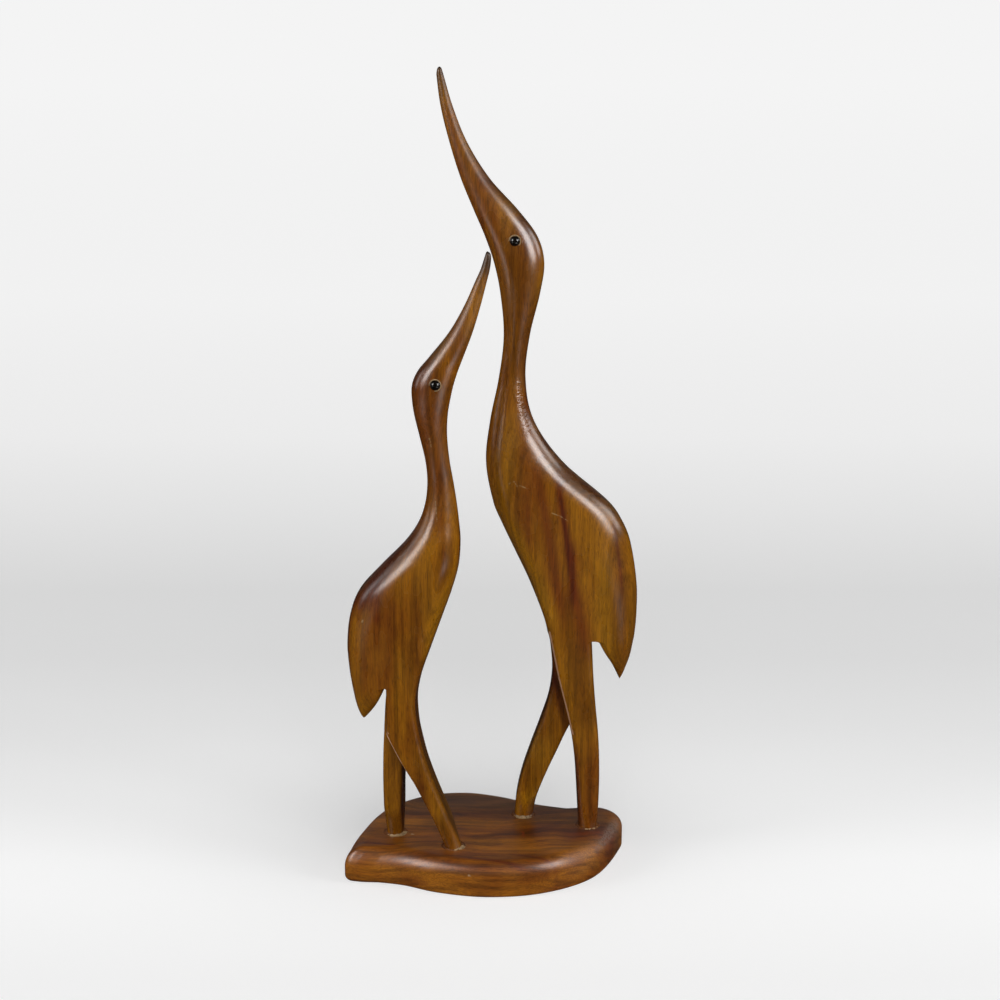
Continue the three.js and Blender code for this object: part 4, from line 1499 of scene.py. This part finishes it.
@dataclass(frozen=True)
class FootGlue:
    """The glue that fills a foot's hole and climbs a little way up the foot."""

    name: str
    foot: Pair  # half the foot's width and depth
    climb: float  # height at the foot
    way: float  # degrees, the way to where it climbs most
    recess: float = 0.0  # how far it lies below the slab's top, on the side away from that
    pale_reach: float = 0.2
    seed: float = 0.0
    lap: float = 0.35  # how far it laps over the slab
    lap_wave: tuple[float, ...] = (0.7, 0.4, 7)  # its level, swing and number of waves
    lumps: Pair = (0.62, 0.3)  # level of the climb and its swing towards the way
    lump_waves: Rows = ((0.16, 5, 1.0), (0.12, 11, 2.3))  # swing, number of waves and seeds
    climb_share: float = 0.4
    film: float = 0.12  # how far it stands above the slab
    inside: float = -0.35  # share at which it starts within the foot
    below: float = 1.2  # depth of its underside under the recess
    hole_gap: float = 0.2  # between its wall and the hole's
    rings: int = 22
    steps: int = 96
    crease: float = 50.0

    def build(self, centre: Floats) -> bpy.types.Object:
        """Makes the ring of glue.

        At angle a and share f from the foot to the hole's edge the top lies at
        film * (1 - f^6) + climb * lumps(a) * exp(-(f / climb_share)^2) less
        recess * (1 - cos(a - way)) / 2 * (1 - f^8), where lumps is a sum of sines.

        Args:
            centre: middle of the foot.

        Returns:
            The piece.
        """
        a = np.linspace(0.0, 2 * math.pi, self.steps, endpoint=False)[:, None]
        f = np.linspace(self.inside, 1.0, self.rings)
        toward = np.cos(a - math.radians(self.way))
        lumps = self.lumps[0] + self.lumps[1] * toward
        for swing, waves, seeds in self.lump_waves:
            lumps = lumps + swing * np.sin(waves * a + seeds * self.seed)
        level, swing, waves = self.lap_wave
        foot = 1.0 / np.hypot(np.cos(a) / self.foot[0], np.sin(a) / self.foot[1])
        edge = SOCKET_RADIUS + self.lap * (level + swing * np.sin(waves * a + self.seed))
        radius = foot + (edge - foot) * f
        low = self.recess * (1.0 - toward) / 2 * (1.0 - f**8)
        rise = self.climb * lumps * np.exp(-((f / self.climb_share) ** 2))
        top = self.film * (1.0 - np.clip(f, 0.0, 1.0) ** 6) + rise - low
        under = np.full_like(a, -self.recess - self.below)
        wall = np.full_like(a, SOCKET_RADIUS - self.hole_gap)
        radius = np.concatenate([radius, wall, radius[:, :1]], axis=1)
        top = np.concatenate([top, under, under], axis=1)
        x = centre[0] + radius * np.cos(a)
        y = centre[1] + radius * np.sin(a)
        loops = points(x, y, BASE_THICKNESS + top)
        skin = Skin()
        skin.grid(np.concatenate([loops, loops[:1]]), closed=True)
        piece = skin.mesh(self.name, self.crease)
        finish = DriedGlue(self.name + "_finish", tuple(centre[:2]), self.way, self.pale_reach)
        dress(piece, finish.material())
        return piece


FOOT_GLUES = (
    FootGlue("small_forward_foot_glue", (4.2, 5.2), 0.5, -40.0, recess=0.6, pale_reach=0.75),
    FootGlue("small_rear_foot_glue", (4.0, 5.2), 0.8, -65.0, pale_reach=0.55, seed=1.7),
    FootGlue("large_forward_foot_glue", (4.5, 5.2), 1.1, -95.0, pale_reach=0.7, seed=3.1),
    FootGlue("large_rear_foot_glue", (4.7, 5.2), 0.3, -80.0, pale_reach=0.95, seed=4.4),
)


# Studio


@dataclass(frozen=True)
class Softbox:
    """An oblong area light that looks at the sculpture's middle."""

    name: str
    towards: Triple
    distance: float  # metres
    size: Pair  # metres
    power: float  # watts
    lights_matt: bool = True
    shows_in_gloss: bool = True

    def build(self, middle: Floats) -> None:
        """Hangs the light.

        Args:
            middle: the point that it looks at.
        """
        data = bpy.data.lights.new(self.name, "AREA")
        data.shape, (data.size, data.size_y), data.energy = "RECTANGLE", self.size, self.power
        light = bpy.data.objects.new(self.name, data)
        way = np.asarray(self.towards) / np.linalg.norm(self.towards)
        light.location = middle * MM + way * self.distance
        light.rotation_euler = Vector(way).to_track_quat("Z", "Y").to_euler()
        light.visible_camera = False
        light.visible_diffuse, light.visible_glossy = self.lights_matt, self.shows_in_gloss
        bpy.context.scene.collection.objects.link(light)


@dataclass(frozen=True)
class Studio:
    """Camera, lights, floor and surroundings."""

    camera_place: Triple = (6.5, -889.4, 429.5)
    look_down: float = 15.5
    lens: float = 70.74
    sensor: float = 36.0
    middle: Triple = (6.5, 2.0, 182.3)
    softboxes: tuple[Softbox, ...] = (
        Softbox("left_softbox", (-0.71, -0.46, 0.43), 1.0, (0.4, 0.6), 11.2, lights_matt=False),
        Softbox("right_softbox", (0.77, -0.44, 0.4), 1.0, (0.4, 0.58), 12.5, lights_matt=False),
        Softbox("front_softbox", (0.05, -0.92, 0.38), 1.6, (0.9, 0.9), 10.6, shows_in_gloss=False),
        Softbox("right_fill", (0.92, -0.3, 0.35), 1.4, (0.5, 0.5), 7.0, shows_in_gloss=False),
        Softbox("right_rim", (0.92, 0.16, 0.36), 1.2, (0.4, 0.5), 4.5, lights_matt=False),
        Softbox("left_rim", (-0.95, 0.12, 0.25), 1.2, (0.3, 0.5), 1.5, lights_matt=False),
        Softbox("left_fill", (-0.92, -0.3, 0.3), 1.4, (0.5, 0.5), 6.0, shows_in_gloss=False),
    )
    surround: float = 0.02  # how bright the room is
    backdrop: float = 0.17  # and the backdrop
    backdrop_span: Pair = (0.5, 0.95)
    # the floor, its lengths in metres
    floor_half: float = 30.0
    floor_drop: float = 0.0002
    floor_matt: Pair = (0.05, 0.44)  # how pale it is where lights fall on it, in itself and to the camera
    floor_bounce: float = 0.2  # light that it throws back on to the wood
    # the paper's tones against the share of the way back, b / (b + paper_reach) where b = y + paper_front;
    # the dip in the middle stops is a painted shade
    paper_front: float = 0.12
    paper_reach: float = 1.5
    paper_tones: tuple[Pair, ...] = (
        (0.0, 0.655), (0.05, 0.71), (0.074, 0.71), (0.113, 0.65), (0.16, 0.575), (0.213, 0.535),
        (0.266, 0.545), (0.337, 0.66), (0.4, 0.75), (0.538, 0.84), (0.803, 0.89),
    )
    # pools of light on the floor that the lacquer mirrors: middle, size, tone and how far off they start to
    # show and show in full, which keeps them to the heads
    pools: tuple[tuple[float, ...], ...] = (
        (-0.55, -0.42, 0.2, 5.0, 0.66, 0.76),
        (0.27, -0.28, 0.14, 7.0, 0.42, 0.47),
    )
    # the soft shade painted round the base: a bell over an ellipse, and its depth
    shade_middle: Triple = (-0.012, 0.042, 0.0)
    shade_size: Triple = (0.1, 0.075, 1.0)
    shade_depth: float = 0.35

    def camera(self) -> None:
        """Sets the camera where the picture was taken from."""
        data = bpy.data.cameras.new("camera")
        data.lens, data.sensor_width = self.lens, self.sensor
        eye = bpy.data.objects.new("camera", data)
        eye.location = np.asarray(self.camera_place) * MM
        eye.rotation_euler = (math.radians(90.0 - self.look_down), 0.0, 0.0)
        bpy.context.scene.collection.objects.link(eye)
        bpy.context.scene.camera = eye

    def surroundings(self) -> None:
        """A dim room with a pale backdrop behind."""
        world = bpy.data.worlds.new("studio")
        bpy.context.scene.world = world
        world.use_nodes = True
        tree = world.node_tree
        way = tree.nodes.new("ShaderNodeTexCoord")
        apart = tree.nodes.new("ShaderNodeSeparateXYZ")
        back = tree.nodes.new("ShaderNodeMapRange")
        tree.links.new(way.outputs["Generated"], apart.inputs[0])
        tree.links.new(apart.outputs["Y"], back.inputs["Value"])
        back.interpolation_type = "SMOOTHSTEP"
        back.inputs["From Min"].default_value, back.inputs["From Max"].default_value = self.backdrop_span
        back.inputs["To Min"].default_value = self.surround
        back.inputs["To Max"].default_value = self.backdrop
        tree.links.new(back.outputs[0], tree.nodes["Background"].inputs["Strength"])
        tree.nodes["Background"].inputs["Color"].default_value = (1.0, 1.0, 1.0, 1.0)

    def pool_glow(self, recipe: Recipe, own: Socket, light: bpy.types.Node) -> Socket:
        """The floor's glow: 1 for the camera, and the pools for whatever mirrors them.

        Args:
            recipe: the floor's material.
            own: place on the floor, in metres.
            light: its Light Path node.

        Returns:
            The glow.
        """
        glow = light.outputs["Is Camera Ray"]
        for x, y, size, strength, first, full in self.pools:
            high_up = recipe.span(light.outputs["Ray Length"], first, full)
            off = recipe.vector("DISTANCE", own, (x, y, 0.0), out="Value")
            pool = recipe.bell(recipe.math("DIVIDE", off, size))
            mirrored = recipe.product(pool, light.outputs["Is Glossy Ray"], high_up)
            glow = recipe.math("MULTIPLY_ADD", mirrored, strength, glow)
        return glow

    def paper_tone(self, recipe: Recipe, own: Socket) -> Socket:
        """The paper's tone: its own against the way back, less the soft shade painted round the base.

        Args:
            recipe: the floor's material.
            own: place on the floor, in metres.

        Returns:
            The tone, as a grey.
        """
        y = recipe.node("SeparateXYZ", {0: own}).outputs[1]
        back = recipe.math("MAXIMUM", recipe.math("ADD", y, self.paper_front), 0.0)
        far = recipe.math("DIVIDE", back, recipe.math("ADD", back, self.paper_reach))
        tone = recipe.ramp(far, [(place, (v, v, v)) for place, v in self.paper_tones])
        place = recipe.vector("SUBTRACT", own, self.shade_middle)
        place = recipe.vector("DIVIDE", place, self.shade_size)
        shade = recipe.bell(recipe.vector("LENGTH", place, out="Value"))
        shade = recipe.math("MULTIPLY_ADD", shade, -self.shade_depth, 1.0)
        return recipe.node("VectorMath", {0: tone, "Scale": shade}, operation="SCALE").outputs[0]

    def floor(self) -> None:
        """A plain pale floor at the paper's tone, with a pool of light to each side for the lacquer."""
        h = self.floor_half
        made = bpy.data.meshes.new("floor")
        made.from_pydata([(-h, -h, 0.0), (h, -h, 0.0), (h, h, 0.0), (-h, h, 0.0)], [], [(0, 1, 2, 3)])
        plane = bpy.data.objects.new("floor", made)
        plane.location.z = -self.floor_drop
        bpy.context.scene.collection.objects.link(plane)
        recipe = Recipe("pale_paper")
        own = recipe.node("TexCoord").outputs["Object"]
        light = recipe.node("LightPath")
        glow = self.pool_glow(recipe, own, light)
        glow = recipe.math("MULTIPLY_ADD", light.outputs["Is Diffuse Ray"], self.floor_bounce, glow)
        seen = light.outputs["Is Camera Ray"]
        shown = recipe.mix(seen, (1.0, 1.0, 1.0), self.paper_tone(recipe, own))
        paper = recipe.finish(
            Base_Color=recipe.mix(seen, *((tone,) * 3 for tone in self.floor_matt)),
            Roughness=1.0,
            Specular_IOR_Level=0.0,
            Emission_Color=shown,
            Emission_Strength=glow,
        )
        paper.cycles.emission_sampling = "NONE"
        made.materials.append(paper)

    def build(self) -> None:
        """Sets up the whole studio."""
        self.camera()
        for box in self.softboxes:
            box.build(np.asarray(self.middle))
        self.surroundings()
        self.floor()
        bpy.context.scene.view_settings.view_transform = "Standard"


# Woods of the birds and the base


SMALL_WOOD = Wood(
    name="small_bird_wood",
    run=GrainRun.UPRIGHT,
    golden=BIRD_GOLDEN,
    brown=BIRD_BROWN,
    deep=BIRD_DEEP,
    place=SMALL_BIRD.place,
    turn=SMALL_BIRD.turn,
    # painted shade: the plank's edges and the upward-looking edges at half the tone
    side_edge_shade=0.5,
    upper_edge_shade=0.5,
    streaks=(
        Streak((-33.0, 132.0), (-2.0, 178.0), 6.0, 0.85),
        Streak((2.0, 186.0), (5.0, 264.0), 9.0, 0.75, colour=DARK_BROWN),
        Streak((9.0, 170.0), (9.0, 210.0), 4.0, 0.4),
        Streak((4.0, 160.0), (-6.0, 104.0), 5.0, 0.4, colour=DARK_OLIVE),
        Streak((-16.0, 96.0), (-12.0, 152.0), 3.5, 0.6, colour=DARK_BROWN),
        Streak((-27.0, 92.0), (-25.0, 130.0), 3.0, 0.35),
        Streak((12.0, 150.0), (1.0, 104.0), 3.5, 0.5, colour=PALE_OLIVE),
        # painted shade on the far layer beside the step between the layers
        Streak((-18.0, 76.0), (-8.0, 54.0), 2.2, 0.8, side=1),
        Streak((-15.0, 70.0), (-15.6, 6.0), 5.0, 0.75, side=1, colour=DARK_OLIVE),
        # painted shade on the rear leg's side wall, between the legs
        Streak((-10.1, 64.0), (-12.0, 12.0), 1.1, 1.0, side=1, colour=PAINTED_DEEP_SHADE),
        Streak((-1.0, 72.0), (10.0, 26.0), 4.0, 0.4, side=-1, colour=PALE_OLIVE),
        Streak((9.0, 36.0), (14.0, 12.0), 5.0, 0.55, side=-1, colour=DARK_OLIVE),
        Streak((10.0, 186.0), (8.0, 244.0), 4.5, 0.5, colour=DARK_BROWN),
    ),
    marks=(
        Mark((-27.0, -12.7, 131.2), (-27.3, -12.7, 130.6), 0.5, PALE_SCRATCH, broken=False),
        Mark((4.5, -7.0, 218.0), (5.5, -7.0, 214.0), 0.5, PALE_SCRATCH, 0.45),
        Mark((7.0, -7.0, 190.0), (8.0, -8.0, 180.0), 0.4, PALE_SCRATCH, 0.4),
        # painted highlight along the step edge between the layers
        Mark((-16.4, -12.4, 75.2), (-14.2, -12.4, 70.0), 0.5, PAINTED_EDGE_HIGHLIGHT, 0.85, broken=False),
        Mark((-14.2, -12.4, 70.0), (-9.7, -12.4, 61.0), 0.5, PAINTED_EDGE_HIGHLIGHT, 0.85, broken=False),
        Mark((-9.7, -12.4, 61.0), (-3.2, -12.4, 50.0), 0.4, PAINTED_EDGE_HIGHLIGHT, 0.6),
        Mark((-16.2, -12.6, 76.6), (-15.6, -12.6, 76.0), 0.5, PAINTED_EDGE_HIGHLIGHT, 0.5),
    ),
    mark_scale=(1.0, 0.1, 1.0),
    dark_end=(284.0, 298.0),
    satin_from=(248.0, 268.0),
    seed=41.0,
)

LARGE_WOOD = Wood(
    name="large_bird_wood",
    run=GrainRun.UPRIGHT,
    golden=BIRD_GOLDEN,
    brown=BIRD_BROWN,
    deep=BIRD_DEEP,
    place=LARGE_BIRD.place,
    turn=LARGE_BIRD.turn,
    # painted shade: the plank's edges and the upward-looking edges at half the tone
    side_edge_shade=0.5,
    upper_edge_shade=0.5,
    streaks=(
        Streak((-1.5, 198.0), (-8.8, 152.0), 2.6, 0.8),
        Streak((-8.2, 164.0), (-10.6, 132.0), 2.8, 0.9),
        Streak((-3.2, 192.0), (-9.6, 138.0), 1.0, 0.7, colour=DEEP_RED),
        Streak((-10.0, 142.0), (-17.0, 104.0), 4.5, 0.75),
        Streak((9.0, 210.0), (-7.0, 112.0), 4.0, 0.75),
        Streak((16.0, 236.0), (17.0, 312.0), 9.0, 0.8, colour=DARK_OLIVE),
        Streak((38.0, 322.0), (49.0, 366.0), 2.5, 0.5),
        Streak((20.0, 226.0), (24.0, 168.0), 5.0, 0.5, colour=PALE_OLIVE),
        # golden wood along the breast edge, painted paler as light against the edge's shade
        Streak((22.5, 178.0), (-1.0, 122.0), 4.0, 0.8, side=1, colour=GOLD_AND_PAINTED_LIGHT),
        Streak((-24.0, 160.0), (-27.0, 100.0), 5.0, 0.6, colour=PALE_OLIVE),
        Streak((-36.0, 170.0), (-38.0, 100.0), 5.0, 0.8, colour=BIRD_GOLDEN),
        Streak((-28.0, 176.0), (-33.0, 136.0), 0.9, 0.6),
        # painted shade on the far layer beside the step between the layers
        Streak((4.5, 122.0), (-6.5, 66.0), 2.6, 0.95, side=-1),
        # painted shade, deepest near the crotch beside the step
        Streak((-2.2, 94.0), (-7.6, 60.0), 1.6, 0.9, side=-1, colour=PAINTED_DEEP_SHADE),
        Streak((-12.0, 118.0), (-16.0, 66.0), 6.0, 0.7, side=1, colour=DARK_OLIVE),
        Streak((-19.0, 66.0), (-19.0, 10.0), 6.0, 0.4, side=1),
        # painted shade down the near leg's front edge
        Streak((-11.2, 62.0), (-14.6, 12.0), 1.9, 0.85, side=1, colour=PAINTED_SHADE_RED),
        # golden wood on the far leg, painted paler as light against the near leg's shadow
        Streak((2.0, 66.0), (12.0, 22.0), 5.5, 1.0, side=-1, colour=GOLD_AND_PAINTED_LIGHT),
    ),
    marks=(
        Mark((20.8, 12.7, 192.3), (18.5, 12.7, 193.2), 0.32, PALE_SCRATCH),
        Mark((18.5, 12.7, 193.2), (16.8, 12.7, 191.0), 0.32, PALE_SCRATCH),
        Mark((15.7, 12.7, 191.3), (12.0, 12.7, 189.9), 0.28, PALE_SCRATCH),
        Mark((0.7, 12.7, 178.2), (-2.4, 12.7, 177.0), 0.32, PALE_SCRATCH),
        Mark((-3.0, 12.7, 176.8), (-6.8, 12.7, 174.4), 0.28, PALE_SCRATCH),
        # painted highlight along the step edge between the layers
        Mark((1.4, 12.0, 119.0), (-0.5, 12.4, 109.5), 0.5, PAINTED_EDGE_HIGHLIGHT, 0.8, broken=False),
        Mark((-0.5, 12.4, 109.5), (-3.4, 12.4, 95.0), 0.5, PAINTED_EDGE_HIGHLIGHT, 0.8, broken=False),
        Mark((-3.4, 12.4, 95.0), (-7.1, 12.4, 80.0), 0.5, PAINTED_EDGE_HIGHLIGHT, 0.8, broken=False),
        Mark((-7.1, 12.4, 80.0), (-10.1, 12.4, 67.0), 0.5, PAINTED_EDGE_HIGHLIGHT, 0.75, broken=False),
    ),
    tool_marks=(Stretch((17.5, 6.0, 238.0), (11.5, 8.5, 217.0), 4.5, 1.0),),
    mark_scale=(1.0, 0.1, 1.0),
    dark_end=(354.0, 388.0),
    satin_from=(312.0, 332.0),
    satin_mirror=0.28,
    seed=7.0,
)

BASE_WOOD = Wood(
    name="base_wood",
    run=GrainRun.LENGTHWISE,
    golden=(0.42, 0.14, 0.006),
    brown=(0.3, 0.086, 0.005),
    deep=(0.15, 0.034, 0.004),
    sway=7.0,
    sheet_turn=25.0,
    sheet_strength=0.36,
    sheets=Pattern(0.7, 0.02, 2.0, 0.55, aside=0.13),
    roughness=0.37,
    dull_patches=(Stretch((44.0, -32.0, 14.0), (70.0, 14.0, 13.0), 13.0, 0.9),),
    streaks=(
        # the back of the top darker and greyer: darker wood under a painted sheen
        Streak((34.0, -50.0), (20.0, 66.0), 14.0, 0.7, colour=DUST_AND_SHEEN_BROWN),
        Streak((-14.0, 36.0), (-5.0, 66.0), 8.0, 0.75),
        # dust on the top by the large bird's rear foot
        Streak((4.0, 40.0), (2.0, 70.0), 7.0, 0.5, colour=DUST_AND_SHEEN_BROWN),
        Streak((-19.6, -64.0), (-23.5, -42.0), 0.9, 0.9),
        Streak((-35.5, -14.0), (-42.5, 20.0), 1.3, 0.8),
        Streak((-33.0, 12.0), (-38.0, 34.0), 0.9, 0.7),
    ),
    marks=(
        Mark((-8.1, -43.5, 11.3), (-6.9, -43.5, 11.0), 0.8, LACQUER_CHIP, 0.8, broken=False),
        Mark((11.2, -43.5, 7.2), (11.6, -43.5, 7.0), 0.6, LACQUER_CHIP, 0.6),
        Mark((8.9, -43.5, 3.6), (9.3, -43.5, 3.4), 0.5, LACQUER_CHIP, 0.6),
        Mark((17.7, -8.0, 17.0), (18.0, -13.5, 17.0), 0.9, RED_SPECK, 0.7),
        Mark((-36.4, -10.7, 17.0), (-35.8, -10.9, 17.0), 0.7, LACQUER_CHIP, 0.8),
        # dust and a painted sheen along the right corner's rounded top edge
        Mark((55.0, -22.0, 15.0), (64.0, 6.0, 15.0), 3.5, DUST_AND_SHEEN_EDGE, 0.6),
        Mark((43.5, -31.5, 4.5), (46.5, -29.5, 7.5), 0.35, PALE_SCRATCH, 0.5),
        Mark((49.0, -28.0, 5.0), (51.5, -26.0, 8.5), 0.35, PALE_SCRATCH, 0.5),
        Mark((37.5, -35.5, 3.0), (40.0, -34.0, 5.5), 0.35, PALE_SCRATCH, 0.4),
    ),
    seed=23.0,
)


def main() -> None:
    """Builds the studio, the base, both birds, the glue and the eyes, and reports each piece."""
    logging.basicConfig(level=logging.INFO, format="%(message)s")
    Studio().build()
    base = Base()
    pieces = [base.build(BASE_WOOD), SMALL_BIRD.build(SMALL_WOOD), LARGE_BIRD.build(LARGE_WOOD)]
    pieces += [glue.build(centre) for glue, centre in zip(FOOT_GLUES, base.foot_centres())]
    bead, dust = BlackBead().material(), DriedGlue("eye_seat_dust", pale_reach=-2.0).material()
    for bird in (SMALL_BIRD, LARGE_BIRD):
        for side in (-1, 1):
            pieces += BeadEye(bird, side).build(bead, dust)
    for piece in pieces:
        log.info("%s: %d faces", piece.name, len(piece.data.polygons))


if __name__ == "__main__":
    main()
